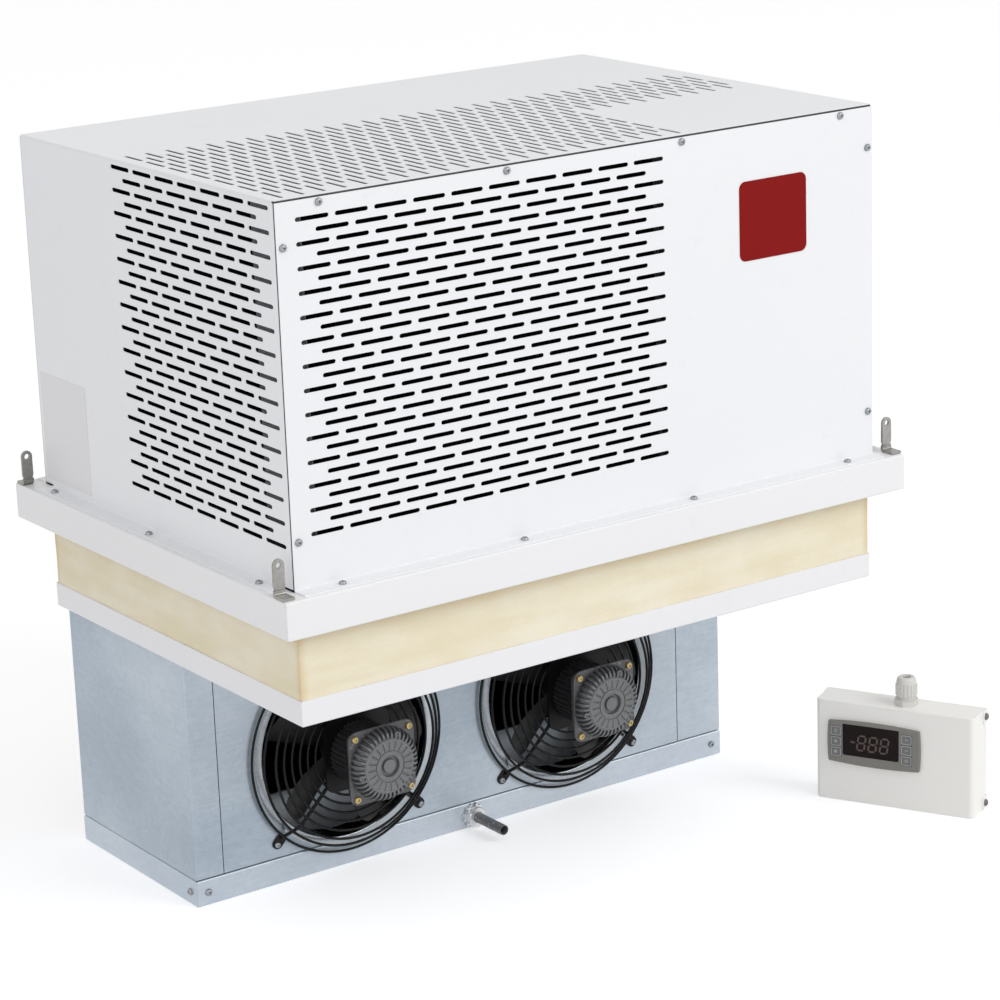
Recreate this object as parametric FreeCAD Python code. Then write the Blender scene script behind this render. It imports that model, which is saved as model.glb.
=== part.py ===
import FreeCAD, Part

import os
from math import cos, pi, radians, sin, sqrt

# Ceiling-mounted refrigeration unit with its loose control box, in millimetres.
# The origin is the middle of the drip tray's underside. +Z is up, the fans and the
# front grille look along -Y, and +X is to the right as seen from the front.

Vector = FreeCAD.Vector
ALONG_X, ALONG_Y, ALONG_Z = Vector(1, 0, 0), Vector(0, 1, 0), Vector(0, 0, 1)

# Heights of the stack, from the tray's underside up
tray_height = 30.0
casing_height = 252.0
lower_pan_height = 27.0
foam_shown = 75.0
skirt_height = 40.0
hood_height = 388.0

# Plan sizes
hood_width, hood_depth = 750.0, 520.0
pan_overhang = 24.0  # base pan past the hood, all round
plug_inset = 27.0  # insulated plug inside the pan's edge, all round
casing_inset = 11.0  # evaporator casing inside the plug's left and right sides
casing_depth = 254.0
hood_tail = 6.0  # hood past the back of the casing

# Sheet metal
sheet = 1.5
flange = 15.0  # folded edges behind a joint
foot_lip = 19.0  # hood foot, screwed down on the pan
joint = 1.0  # visible joint between two sheets
seat_lip = 25.0  # the pan's inward lip, which rests on the ceiling panel

# Slots of the grilles: round-ended cuts in staggered rows
slot_length, slot_width = 38.0, 4.5
slot_pitch, row_pitch = 45.0, 12.0
front_grille_x, front_grille_z = 23.0, 55.0  # from the hood's left and bottom edges
front_blank, front_grille_top = 280.0, 20.0  # least plain sheet at the right and at the top
side_grille_y, side_grille_z = 10.0, 44.0  # from the hood's front and bottom edges
side_blank, side_grille_top = 200.0, 7.0  # least plain sheet at the back and at the top
top_grille_x, top_grille_y = 17.0, 10.0  # from the hood's left and front edges
rear_band_rows, rear_band_skipped_slots = 19, 4
joined_slots = 7  # slots of the left and top sheets run together in one long cut

# Lifting lugs
lug_width, lug_height, lug_thickness, lug_hole = 13.0, 39.0, 3.0, 6.0
lug_foot = 16.0
lug_side = 6.5  # lug's middle from the pan's side edge
lug_front, lug_back = 21.0, 20.0  # from the pan's front and back edges

# Condenser coil, behind the front grille
coil_gap = 13.0  # from the inside of the front panel
coil_depth = 42.0
coil_left, coil_right = 35.0, 287.0  # from the hood's left and right edges
coil_foot, coil_head = 40.0, 18.0  # from the pan and from the hood's roof
condenser_fin_pitch = 12.0
fin_thickness = 0.6
condenser_passes = 12
condenser_tube = 9.5
tube_stub = 3.0  # tubes past the outermost fins
end_plate_foot = 6.0  # end plate past the fins, front and back

# Condenser fan, behind the coil
shroud_depth = 32.0
condenser_fan_margin = 19.0  # blade tips inside the coil's top and bottom
condenser_tip_gap = 5.0
condenser_hub_radius, condenser_hub_length = 35.0, 30.0
condenser_motor_radius, condenser_motor_length = 52.0, 84.0
condenser_motor_gap = 15.0
condenser_shaft = 12.0
bracket_width, bracket_thickness = 44.0, 3.0

# Compressor on its rubber feet
compressor_rear = 138.0  # its axis from the hood's back edge
receiver_gap = 3.0  # foot plate to the receiver
shell_radius = 72.0
shell_lower, shell_upper, shell_dome = 110.0, 45.0, 35.0
weld_flange, weld_height = 4.0, 6.0
feet_span, foot_radius, foot_height, foot_plate = 150.0, 13.0, 14.0, 4.0

# Receiver, filter drier and lines
receiver_side, receiver_rear = 37.0, 45.0  # its axis from the hood's right and back edges
receiver_radius, receiver_height = 32.0, 170.0
drier_radius, drier_length = 14.0, 100.0
line_gap = 21.0  # from the coil's tubes to the liquid and discharge lines
discharge_tube, liquid_tube, suction_tube = 10.0, 8.0, 12.0
line_bend, bend_steps = 24.0, 2
line_stub = 2.0  # straight tube before the first bend
pipe_pass_side, pipe_pass_offset = 29.0, 9.0  # from the casing's right side, behind the compressor's axis
pipe_pass_radius = 26.0
suction_level = 120.0  # above the pan
pipe_drop = 120.0  # tray underside to the pipes' lower ends
seat_gap = 0.2  # left at a brazed or pushed joint of two round surfaces

# Electrical box behind the blank part of the front panel
box_left, box_right = 245.0, 25.0  # its sides from the hood's right edge
box_depth, box_head, box_wall = 116.0, 48.0, 2.5  # the head is what is left under the hood's roof
box_gap = 4.0

rail_inset, rail_level, rail_height, rail_depth = 20.0, 150.0, 35.0, 8.0
contactor_inset, contactor_pitch, contactor_below = 30.0, 55.0, 22.0
contactor_width, contactor_depth, contactor_height = 45.0, 54.0, 80.0

# Mains cable gland in the back panel
gland_side, gland_z = 75.0, 60.0  # from the hood's right edge and from the pan
gland_across, gland_bore, gland_length = 30.0, 13.0, 28.0
gland_thread, gland_inside = 20.0, 12.0

# Fan panel, rings, guards, motors and impellers
panel_left, panel_right = 35.0, 65.0  # width of the casing's own front strips
casing_gap = 1.5  # dark line between the casing and the tray
throat_margin, throat_foot = 20.0, 5.0  # throat to half the casing's height, and above the tray
throat_wall, throat_length = 1.5, 28.0
guard_overlap = 16.0  # outermost guard ring past the throat, at most
guard_first, guard_pitch, guard_sides = 52.0, 10.0, 20  # the first ring is just outside the motor plate
guard_wire, guard_arm = 3.0, 4.0
guard_depth = 23.0
guard_flat = 3.0  # the guard's flat middle ends this far inside the throat
guard_ear_length, guard_ear_width = 16.0, 14.0
fan_gap_share = 0.4140625  # of the panel's width that the guards leave free, the part between them
motor_plate, motor_plate_thickness, motor_plate_corner = 84.0, 3.0, 12.0
stack_size, stack_length = 70.0, 15.0
bell_radius, bell_length, bell_ribs, rib_height = 42.0, 44.0, 24, 2.5
face_radius, face_length = 36.0, 5.0
motor_shaft, shaft_fit = 8.0, 0.05
shaft_depth = 40.0  # shaft inside the motor
impeller_tip_gap, impeller_hub, impeller_length = 8.0, 26.0, 22.0
impeller_gap = 9.0  # guard to hub
blades = 5
blade_thickness, blade_pitch = 2.0, 28.0
condenser_chords = (44.0, 84.0, 96.0)  # blade widths at the hub, the middle and the tip
evaporator_chords = (36.0, 54.0, 62.0)

# Evaporator coil, behind the fans
evaporator_back = 12.0  # from the casing's back edge
evaporator_depth = 96.0
evaporator_side = 52.0  # from the casing's sides to the fins
evaporator_foot, evaporator_head = 10.0, 8.5  # above the tray and under the casing's roof sheet
evaporator_fin_pitch = 15.0
evaporator_passes, evaporator_columns = 8, 2
evaporator_tube = 12.0
heater_radius, heater_gap = 4.0, 0.3

# Drain
drain_length, drain_outside, drain_wall = 62.0, 12.0, 1.0
drain_thread, drain_inside = 13.0, 6.0  # thread's diameter, and its length inside the tray
nut_across, nut_length = 22.0, 8.0
gasket_radius, gasket_length, gasket_teeth, tooth_depth = 14.5, 4.0, 12, 2.0

# Screws
screw_across, screw_height = 8.0, 3.0
screw_first, screw_last, screw_pitch = 50.0, 46.0, 220.0  # along the hood, from its left and right edges
screw_level, screw_edge = 7.0, 8.0  # from the hood's roof and from its side edges
side_screw_low, side_screw_high = 50.0, 46.0  # from the pan and from the roof
foot_screw_front, foot_screw_side = 10.0, 12.0  # out from the hood on its feet
tray_screw = 14.0  # from the tray's corners

# Control box, standing apart on the same floor
control_right, control_front, control_turn = 41.0, 264.0, -62.4  # from the casing's right front corner
control_width, control_height, control_depth = 190.0, 120.0, 42.0
control_wall, control_corner = 1.5, 6.0
back_plate = 2.0
tab_height, tab_depth = 16.0, 13.0
wall_hole, wall_hole_inset = 5.0, 14.0
fascia_left, fascia_top = 17.0, 23.0
fascia_width, fascia_height, fascia_thickness = 109.0, 48.0, 5.0
fascia_bow = 2.4
window_left, window_width, window_top, window_height = 17.5, 68.0, 1.5, 37.5
window_thickness = 1.4
key_width, key_height, key_pitch, key_thickness = 12.5, 11.2, 12.6, 3.4
key_proud, key_gap = 0.4, 0.3
left_keys, right_keys, key_top = 3.2, 88.5, 5.2
controller_width, controller_height, controller_depth = 98.0, 38.0, 30.0
cable_gland_x, cable_gland_across, cable_gland_bore = 102.0, 24.0, 10.0
gland_hex, gland_neck, gland_cap, gland_dome = 7.0, 4.0, 14.0, 8.0
gland_foot, gland_foot_radius = 8.0, 8.5

# Levels and edges that follow from the sizes above
casing_floor = tray_height
casing_roof = casing_floor + casing_height
foam_floor = casing_roof + lower_pan_height
seat_level = foam_floor + foam_shown
pan_top = seat_level + skirt_height
hood_roof = pan_top + hood_height
hood_left, hood_right = -hood_width / 2, hood_width / 2
casing_front, casing_back = -casing_depth / 2, casing_depth / 2
casing_right = hood_right + pan_overhang - plug_inset - casing_inset
casing_left = -casing_right
hood_back = casing_back + hood_tail
hood_front = hood_back - hood_depth

# How many slots and rows fit on each sheet
slot_bridge = slot_pitch - slot_length
front_slots = int((hood_width - front_grille_x - front_blank + slot_bridge) / slot_pitch)
front_rows = int((hood_height - front_grille_z - front_grille_top) / row_pitch) + 1
side_slots = int((hood_depth - side_grille_y - side_blank + slot_bridge) / slot_pitch)
side_rows = int((hood_height - side_grille_z - side_grille_top) / row_pitch) + 1
top_rows = int((hood_width - 2 * top_grille_x) / row_pitch) + 1 - rear_band_rows

# Places inside the hood
receiver_x, receiver_y = hood_right - receiver_side, hood_back - receiver_rear
foot_plate_half = feet_span / 2 + foot_radius
compressor_x = receiver_x - receiver_radius - receiver_gap - foot_plate_half
compressor_y = hood_back - compressor_rear
pipe_pass_x, pipe_pass_y = casing_right - pipe_pass_side, compressor_y + pipe_pass_offset
gland_x = hood_right - gland_side

# Fans of the evaporator
panel_near, panel_far = casing_left + panel_left, casing_right - panel_right
throat_radius = casing_height / 2 - throat_margin
guard_rings = int((throat_radius + guard_overlap - guard_first) / guard_pitch) + 1
guard_last = guard_first + guard_pitch * (guard_rings - 1)
guard_flat_radius = throat_radius - guard_flat
guard_ear_radius = guard_last + guard_ear_length
guard_face = casing_front - guard_depth
guard_across = 2 * guard_last + guard_wire
fan_spacing = guard_across + (panel_far - panel_near - 2 * guard_across) * fan_gap_share
fan_middle_x, fan_axis_z = (panel_near + panel_far) / 2, casing_floor + throat_radius + throat_foot
impeller_radius = throat_radius - impeller_tip_gap


def block(x0, x1, y0, y1, z0, z1):
    """A plain block between two corners."""
    return Part.makeBox(x1 - x0, y1 - y0, z1 - z0, Vector(x0, y0, z0))


def rod(radius, start, length, axis):
    """A round bar."""
    return Part.makeCylinder(radius, length, start, axis)


def pipe(outer, inner, start, length, axis):
    """A round bar with a bore right through."""
    return rod(outer, start, length, axis).cut(rod(inner, start, length, axis))


def outline(points):
    """A closed wire of straight edges."""
    return Part.makePolygon(points + points[:1])


def prism(points, along):
    """A closed outline pushed along a vector."""
    return Part.Face(outline(points)).extrude(along)


def around(middle, radius, count, side, up, first=0.0):
    """Corners of a regular outline about a point, in the plane of two directions."""
    turns = [first + 2 * pi * i / count for i in range(count)]
    return [middle + side * (radius * cos(a)) + up * (radius * sin(a)) for a in turns]


def hex_bar(middle, across, along, side, up):
    """A hexagon bar, its size given across two flats."""
    return prism(around(middle, across / sqrt(3), 6, side, up), along)


def sheet_with_holes(corners, holes, along):
    """A flat sheet with cut-outs, made from one face."""
    face = Part.Face([outline(corners)] + holes)
    face.validate()
    return face.extrude(along)


def eased(points, bend):
    """A path whose corners are turned in short straight steps that lie on an arc."""
    path = [points[0]]
    for before, corner, after in zip(points, points[1:], points[2:]):
        into = (corner - before).normalize()
        out = (after - corner).normalize()
        centre = corner + (out - into) * bend
        steps = [radians(90) * i / bend_steps for i in range(bend_steps + 1)]
        path += [centre - out * (bend * cos(a)) + into * (bend * sin(a)) for a in steps]
    return path + [points[-1]]


def tube_along(path, diameter):
    """A hexagonal tube along straight steps with mitred joints."""
    way = (path[1] - path[0]).normalize()
    side = way.cross(ALONG_Z if abs(way.z) < 0.5 else ALONG_X).normalize()
    ring = outline(around(path[0], diameter / 2, 6, side, way.cross(side)))
    return Part.Wire(Part.makePolygon(path).Edges).makePipeShell([ring], True, False, 1)


def brick_slots(start, level, per_row, rows, joined, first=0):
    """Ends and level of each slot. Every other row is half a pitch along and one slot shorter."""
    for row in range(rows):
        stagger = row % 2
        count = per_row - stagger
        for i in range(first, count, joined):
            left = start + (i + stagger / 2) * slot_pitch
            run = min(joined, count - i) - 1
            yield left, left + run * slot_pitch + slot_length, level + row * row_pitch


def slot_cuts(slots, place):
    """One closed outline per slot, set in the sheet by the place function."""
    half = slot_width / 2
    return [
        outline([place(u, v) for u, v in ((a, c - half), (b, c - half), (b, c + half), (a, c + half))])
        for a, b, c in slots
    ]


def base_pan():
    """Folded pan: flat top, deep skirt and the seat lip that turns in under the skirt."""
    left, right = hood_left - pan_overhang, hood_right + pan_overhang
    front, back = hood_front - pan_overhang, hood_back + pan_overhang
    pan = block(left, right, front, back, seat_level, pan_top)
    pan = pan.cut(block(left + sheet, right - sheet, front + sheet, back - sheet,
                        seat_level + sheet, pan_top - sheet))
    pan = pan.cut(block(left + seat_lip, right - seat_lip, front + seat_lip, back - seat_lip,
                        seat_level, seat_level + sheet))
    return pan.cut(pipe_pass(pan_top - sheet, pan_top))


def pipe_pass(low, high):
    """The hole that the pipes take through the pan and the plug."""
    return rod(pipe_pass_radius, Vector(pipe_pass_x, pipe_pass_y, low), high - low, ALONG_Z)


def plug_edges():
    """The plug's four sides: left, right, front and back."""
    return (hood_left - pan_overhang + plug_inset, hood_right + pan_overhang - plug_inset,
            hood_front - pan_overhang + plug_inset, hood_back + pan_overhang - plug_inset)


def plug_lower_pan():
    """White tray under the plug, its skirt outside the foam."""
    left, right, front, back = plug_edges()
    pan = block(left, right, front, back, casing_roof, foam_floor)
    pan = pan.cut(block(left + sheet, right - sheet, front + sheet, back - sheet,
                        casing_roof + sheet, foam_floor))
    return pan.cut(pipe_pass(casing_roof, casing_roof + sheet))


def plug_foam():
    """Insulating block, from the lower pan up to the underside of the base pan."""
    left, right, front, back = plug_edges()
    foam = block(left + sheet, right - sheet, front + sheet, back - sheet,
                 casing_roof + sheet, pan_top - sheet)
    return foam.cut(pipe_pass(casing_roof + sheet, pan_top - sheet))


def hood_front_panel():
    """Slotted front sheet with its foot turned out on the pan."""
    left, right, low, high = hood_left + joint, hood_right - joint, pan_top, hood_roof - sheet - joint / 2

    def place(u, v):
        return Vector(u, hood_front, v)

    slots = brick_slots(hood_left + front_grille_x, pan_top + front_grille_z, front_slots, front_rows, 1)
    corners = [place(left, low), place(right, low), place(right, high), place(left, high)]
    skin = sheet_with_holes(corners, slot_cuts(slots, place), ALONG_Y * sheet)
    return skin.fuse(block(left, right, hood_front - foot_lip, hood_front, low, low + sheet))


def hood_side_panel(edge, inward, slotted):
    """Side sheet with folded edges behind the front and back panels and a foot on the pan."""
    near, far = hood_front + sheet, hood_back - sheet
    low, high = pan_top, hood_roof - sheet

    def place(u, v):
        return Vector(edge, u, v)

    slots = []
    if slotted:
        slots = brick_slots(hood_front + side_grille_y, pan_top + side_grille_z,
                            side_slots, side_rows, joined_slots)
    corners = [place(near, low), place(far, low), place(far, high), place(near, high)]
    panel = sheet_with_holes(corners, slot_cuts(slots, place), ALONG_X * (sheet * inward))
    fold = sorted((edge + inward * sheet, edge + inward * flange))
    lip = sorted((edge, edge - inward * foot_lip))
    return panel.multiFuse([
        block(*fold, near, near + sheet, low, high),
        block(*fold, far - sheet, far, low, high),
        block(*lip, near + foot_lip, far - foot_lip, low, low + sheet),
    ])


def hood_back_panel():
    """Plain back sheet with its foot on the pan and the hole of the mains cable gland."""
    left, right = hood_left + joint, hood_right - joint
    panel = block(left, right, hood_back - sheet, hood_back, pan_top, hood_roof - sheet - joint / 2)
    panel = panel.fuse(block(left, right, hood_back, hood_back + foot_lip, pan_top, pan_top + sheet))
    hole = rod(gland_thread / 2, Vector(gland_x, hood_back - sheet, pan_top + gland_z), sheet, ALONG_Y)
    return panel.cut(hole)


def hood_top_panel():
    """Top sheet with the L-shaped slot field and edges folded down front and back."""
    level = hood_roof - sheet

    def place(u, v):
        return Vector(v, u, level)

    start, first_row = hood_front + top_grille_y, hood_left + top_grille_x
    slots = list(brick_slots(start, first_row, side_slots, top_rows, joined_slots))
    band = first_row + top_rows * row_pitch
    odd = top_rows % 2
    for row in range(rear_band_rows):
        stagger = (row + odd) % 2
        slots += brick_slots(start + stagger * slot_pitch / 2, band + row * row_pitch,
                             side_slots - stagger, 1, joined_slots, rear_band_skipped_slots)
    corners = [place(hood_front, hood_left), place(hood_back, hood_left),
               place(hood_back, hood_right), place(hood_front, hood_right)]
    skin = sheet_with_holes(corners, slot_cuts(slots, place), ALONG_Z * sheet)
    left, right = hood_left + flange + joint, hood_right - flange - joint
    folds = [block(left, right, y, y + sheet, level - flange, level)
             for y in (hood_front + sheet, hood_back - 2 * sheet)]
    return skin.multiFuse(folds)


def screw_heads(places, outward, side, up):
    """Hexagon heads that lie on a sheet."""
    return [hex_bar(p, screw_across, outward * screw_height, side, up) for p in places]


def hood_screws():
    """Screws of the front panel, of the hood's feet and of the back panel."""
    across = [hood_left + screw_first + screw_pitch * i for i in range(3)] + [hood_right - screw_last]
    high = hood_roof - screw_level
    rows = [Vector(x, 0, high) for x in across]
    rows += [Vector(x, 0, z) for x in (hood_left + screw_edge, hood_right - screw_edge)
             for z in (pan_top + side_screw_low, hood_roof - side_screw_high)]
    heads = screw_heads([p + ALONG_Y * hood_front for p in rows], -ALONG_Y, ALONG_X, ALONG_Z)
    heads += screw_heads([p + ALONG_Y * hood_back for p in rows], ALONG_Y, ALONG_X, ALONG_Z)
    foot = pan_top + sheet
    feet = [Vector(x, y, foot) for x in across
            for y in (hood_front - foot_screw_front, hood_back + foot_screw_front)]
    first = hood_front + screw_last
    feet += [Vector(x, y, foot) for x in (hood_left - foot_screw_side, hood_right + foot_screw_side)
             for y in (first, first + screw_pitch, hood_back - screw_last)]
    return heads + screw_heads(feet, ALONG_Z, ALONG_X, ALONG_Y)


def lifting_lug(x, y, inward):
    """Upright tab with a rounded, drilled top and a foot on the pan."""
    half, shoulder = lug_width / 2, pan_top + lug_height - lug_width / 2
    base = [Vector(x - half, y, shoulder), Vector(x - half, y, pan_top),
            Vector(x + half, y, pan_top), Vector(x + half, y, shoulder)]
    dome = Part.Arc(base[3], Vector(x, y, shoulder + half), base[0]).toShape()
    tab = Part.Face(Part.Wire(Part.makePolygon(base).Edges + [dome])).extrude(ALONG_Y * lug_thickness)
    reach = sorted((y + lug_thickness / 2, y + inward * lug_foot))
    tab = tab.fuse(block(x - half, x + half, *reach, pan_top, pan_top + lug_thickness))
    return tab.cut(rod(lug_hole / 2, Vector(x, y, shoulder), lug_thickness, ALONG_Y))


def lifting_lugs():
    """One lug at each corner of the pan."""
    sides = (hood_left - pan_overhang + lug_side, hood_right + pan_overhang - lug_side)
    near, far = hood_front - pan_overhang + lug_front, hood_back + pan_overhang - lug_back
    return [lifting_lug(x, near, -1) for x in sides] + [lifting_lug(x, far, 1) for x in sides]


def fin_stack(x0, x1, y0, y1, z0, z1, pitch):
    """Upright fins, evenly spaced across the coil."""
    count = int((x1 - x0) / pitch)
    step = (x1 - x0 - fin_thickness) / count
    return [block(x0 + i * step, x0 + i * step + fin_thickness, y0, y1, z0, z1) for i in range(count + 1)]


def serpentine(x0, x1, y, levels, diameter):
    """One tube to and fro through the fins, in and out at the right, with return bends at both ends."""
    path = [Vector(x1, y, levels[0])]
    for i, (low, high) in enumerate(zip(levels, levels[1:])):
        at, out = (x0, -1) if i % 2 == 0 else (x1, 1)
        reach = (high - low) / 2
        steps = [pi * k / (2 * bend_steps) for k in range(2 * bend_steps + 1)]
        path += [Vector(at + out * reach * sin(a), y, low + reach - reach * cos(a)) for a in steps]
    path.append(Vector(x0 if len(levels) % 2 else x1, y, levels[-1]))
    return tube_along(path, diameter)


def even_levels(low, high, count):
    """Pass levels with half a pitch left above and below."""
    pitch = (high - low) / count
    return [low + pitch * (i + 0.5) for i in range(count)]


condenser_front = hood_front + sheet + coil_gap
condenser_back = condenser_front + coil_depth
condenser_left, condenser_right = hood_left + coil_left, hood_right - coil_right
condenser_low, condenser_high = pan_top + coil_foot, hood_roof - coil_head
condenser_fan_radius = (condenser_high - condenser_low) / 2 - condenser_fan_margin
condenser_x, condenser_z = (condenser_left + condenser_right) / 2, (condenser_low + condenser_high) / 2
shroud_plate = condenser_back + end_plate_foot + shroud_depth
condenser_levels = even_levels(condenser_low, condenser_high, condenser_passes)
condenser_tube_end = condenser_right + tube_stub
line_x = condenser_tube_end + line_gap


def condenser_fins():
    return fin_stack(condenser_left, condenser_right, condenser_front, condenser_back,
                     condenser_low, condenser_high, condenser_fin_pitch)


def condenser_tubes():
    return serpentine(condenser_left - tube_stub, condenser_tube_end,
                      condenser_front + coil_depth / 2, condenser_levels, condenser_tube)


def condenser_end_plates():
    """Upright plates that carry the coil, standing on the pan."""
    front, back = condenser_front - end_plate_foot, condenser_back + end_plate_foot
    return [block(x, x + sheet, front, back, pan_top, condenser_high + end_plate_foot)
            for x in (condenser_left - sheet - seat_gap, condenser_right + seat_gap)]


def condenser_shroud():
    """Duct from the coil to the round hole of the fan."""
    left, right = condenser_left - 3 * sheet, condenser_right + 3 * sheet
    front, high = condenser_back + end_plate_foot, condenser_high + end_plate_foot
    duct = block(left, right, front, shroud_plate, pan_top, high)
    duct = duct.cut(block(left + sheet, right - sheet, front, shroud_plate - sheet, pan_top, high - sheet))
    hole = rod(condenser_fan_radius + condenser_tip_gap,
               Vector(condenser_x, shroud_plate - sheet, condenser_z), sheet, ALONG_Y)
    return duct.cut(hole)


def blade(hub, tip, chords, angle, thickness):
    """Pitched paddle, narrow at the hub and swept wide at the tip."""
    root, middle, outer = hub - 4, (hub + tip) / 2, sqrt(tip ** 2 - (chords[2] / 2) ** 2) - 1
    shape = [(root, -chords[0] / 2), (middle, -chords[1] / 2), (outer * 0.92, -chords[2] / 2),
             (outer, -chords[2] * 0.3), (outer, chords[2] * 0.36), (outer * 0.86, chords[2] / 2),
             (middle, chords[1] * 0.36), (root, chords[0] / 2)]
    along = Vector(0, sin(angle), cos(angle))
    through = Vector(0, cos(angle), -sin(angle)) * thickness
    return prism([ALONG_X * r + along * c - through * 0.5 for r, c in shape], through)


def impeller(place, tip, hub, length, shaft, reach, chords):
    """Hub with its blades and the shaft that runs in the motor, turning about Y."""
    paddle = blade(hub, tip, chords, radians(blade_pitch), blade_thickness)
    paddle.translate(ALONG_Y * (length / 2))
    pieces = []
    for i in range(blades):
        turned = paddle.copy()
        turned.rotate(Vector(0, 0, 0), ALONG_Y, 360 * i / blades)
        pieces.append(turned)
    low, high = sorted((0.0, reach))
    pieces.append(rod(shaft / 2, Vector(0, low, 0), high - low, ALONG_Y))
    wheel = rod(hub, Vector(0, 0, 0), length, ALONG_Y).multiFuse(pieces)
    wheel.translate(place)
    return wheel


def condenser_fan_place():
    return Vector(condenser_x, shroud_plate - condenser_hub_length / 2, condenser_z)


def condenser_impeller():
    reach = condenser_hub_length + condenser_motor_gap + shaft_depth
    return impeller(condenser_fan_place(), condenser_fan_radius, condenser_hub_radius,
                    condenser_hub_length, condenser_shaft, reach, condenser_chords)


def condenser_motor_front():
    return condenser_fan_place() + ALONG_Y * (condenser_hub_length + condenser_motor_gap)


def condenser_fan_motor():
    """Round motor with a bearing bore for the impeller's shaft."""
    front = condenser_motor_front()
    body = rod(condenser_motor_radius, front, condenser_motor_length, ALONG_Y)
    return body.cut(rod(condenser_shaft / 2 + shaft_fit, front, shaft_depth + 1, ALONG_Y))


def condenser_fan_bracket():
    """Upright behind the motor, with a foot on the pan."""
    back = condenser_motor_front().y + condenser_motor_length
    half = bracket_width / 2
    high = condenser_z + condenser_motor_radius
    post = block(condenser_x - half, condenser_x + half, back, back + bracket_thickness, pan_top, high)
    return post.fuse(block(condenser_x - half, condenser_x + half, back, back + 40,
                           pan_top, pan_top + bracket_thickness))


compressor_base = pan_top + foot_height + foot_plate
compressor_seam = compressor_base + shell_lower


def revolve_z(points, x, y):
    """A profile of radius and height, turned about an upright axis."""
    face = Part.Face(outline([Vector(x + r, y, z) for r, z in points]))
    return face.revolve(Vector(x, y, 0), ALONG_Z, 360)


def compressor():
    """Welded shell with its seam and domed top, on its foot plate."""
    r, low, seam = shell_radius, compressor_base, compressor_seam
    rim, top = r + weld_flange, seam + shell_upper
    shell = revolve_z([(0, low), (r, low), (r, seam), (rim, seam), (rim, seam + weld_height),
                       (r, seam + weld_height), (r, top), (r * 0.6, top + shell_dome),
                       (0, top + shell_dome)], compressor_x, compressor_y)
    half = foot_plate_half
    plate = block(compressor_x - half, compressor_x + half, compressor_y - half, compressor_y + half,
                  compressor_base - foot_plate, compressor_base)
    return shell.fuse(plate)


def compressor_feet():
    """Rubber feet between the foot plate and the pan."""
    half = feet_span / 2
    places = [Vector(compressor_x + i * half, compressor_y + j * half, pan_top)
              for i in (-1, 1) for j in (-1, 1)]
    return [prism(around(p, foot_radius, 10, ALONG_X, ALONG_Y), ALONG_Z * foot_height) for p in places]


def receiver():
    """Upright liquid receiver."""
    return rod(receiver_radius, Vector(receiver_x, receiver_y, pan_top), receiver_height, ALONG_Z)


liquid_z = condenser_levels[0]
coil_out_y = condenser_front + coil_depth / 2
coil_bend = line_gap - line_stub
drier_middle = (coil_out_y + receiver_y) / 2 - 60


def filter_drier():
    """Copper drier in the liquid line."""
    return rod(drier_radius, Vector(line_x, drier_middle - drier_length / 2, liquid_z), drier_length, ALONG_Y)


def liquid_line():
    """Two runs: coil to drier, and drier past the compressor to the receiver."""
    start = condenser_tube_end + seat_gap
    near, far = drier_middle - drier_length / 2 - seat_gap, drier_middle + drier_length / 2 + seat_gap
    return [
        tube_along(eased([Vector(start, coil_out_y, liquid_z), Vector(line_x, coil_out_y, liquid_z),
                          Vector(line_x, near, liquid_z)], coil_bend), liquid_tube),
        tube_along(eased([Vector(line_x, far, liquid_z), Vector(line_x, receiver_y, liquid_z),
                          Vector(receiver_x - receiver_radius - seat_gap, receiver_y, liquid_z)],
                         line_bend), liquid_tube),
    ]


def discharge_line():
    """From the compressor's dome to the top of the coil."""
    level = condenser_levels[-1]
    start = compressor_seam + shell_upper + shell_dome + seat_gap
    end = condenser_tube_end + seat_gap
    return tube_along(eased([Vector(compressor_x, compressor_y, start),
                             Vector(compressor_x, compressor_y, level),
                             Vector(line_x, compressor_y, level), Vector(line_x, coil_out_y, level),
                             Vector(end, coil_out_y, level)], coil_bend), discharge_tube)


def suction_line():
    """From the evaporator up through the plug to the compressor's side."""
    level = pan_top + suction_level
    end = compressor_x + shell_radius + seat_gap
    start = evaporator_right + sheet + 2 * seat_gap
    return tube_along(eased([Vector(start, compressor_y, pipe_drop),
                             Vector(pipe_pass_x, compressor_y, pipe_drop),
                             Vector(pipe_pass_x, compressor_y, level),
                             Vector(end, compressor_y, level)], coil_bend), suction_tube)


def electrical_box():
    """Closed box of the contactors and terminals, its lid towards the front panel."""
    left, right = hood_right - box_left, hood_right - box_right
    front = hood_front + sheet + box_gap
    back = front + box_depth
    high = hood_roof - box_head
    body = block(left, right, front + box_wall, back, pan_top, high)
    body = body.cut(block(left + box_wall, right - box_wall, front + box_wall, back - box_wall,
                          pan_top + box_wall, high - box_wall))
    lid = block(left, right, front, front + box_wall, pan_top, high)
    behind = back - box_wall - rail_depth
    rail = block(left + rail_inset, right - rail_inset, behind, back - box_wall,
                 pan_top + rail_level, pan_top + rail_level + rail_height)
    low = pan_top + rail_level - contactor_below
    contactors = []
    for i in range(3):
        side = left + contactor_inset + contactor_pitch * i
        contactors.append(block(side, side + contactor_width, behind - contactor_depth, behind,
                                low, low + contactor_height))
    return [body, lid, rail] + contactors


def mains_gland():
    """Cable gland in the back panel: nut outside, thread through the sheet, and its bore."""
    start = Vector(gland_x, hood_back, pan_top + gland_z)
    nut = hex_bar(start, gland_across, ALONG_Y * gland_length, ALONG_X, ALONG_Z)
    thread = rod(gland_thread / 2, start - ALONG_Y * gland_inside, gland_inside, ALONG_Y)
    bore = rod(gland_bore / 2, start - ALONG_Y * gland_inside, gland_length + gland_inside, ALONG_Y)
    return nut.fuse(thread).cut(bore)


skin_low = casing_floor + casing_gap
skin_high = casing_roof - sheet


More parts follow.
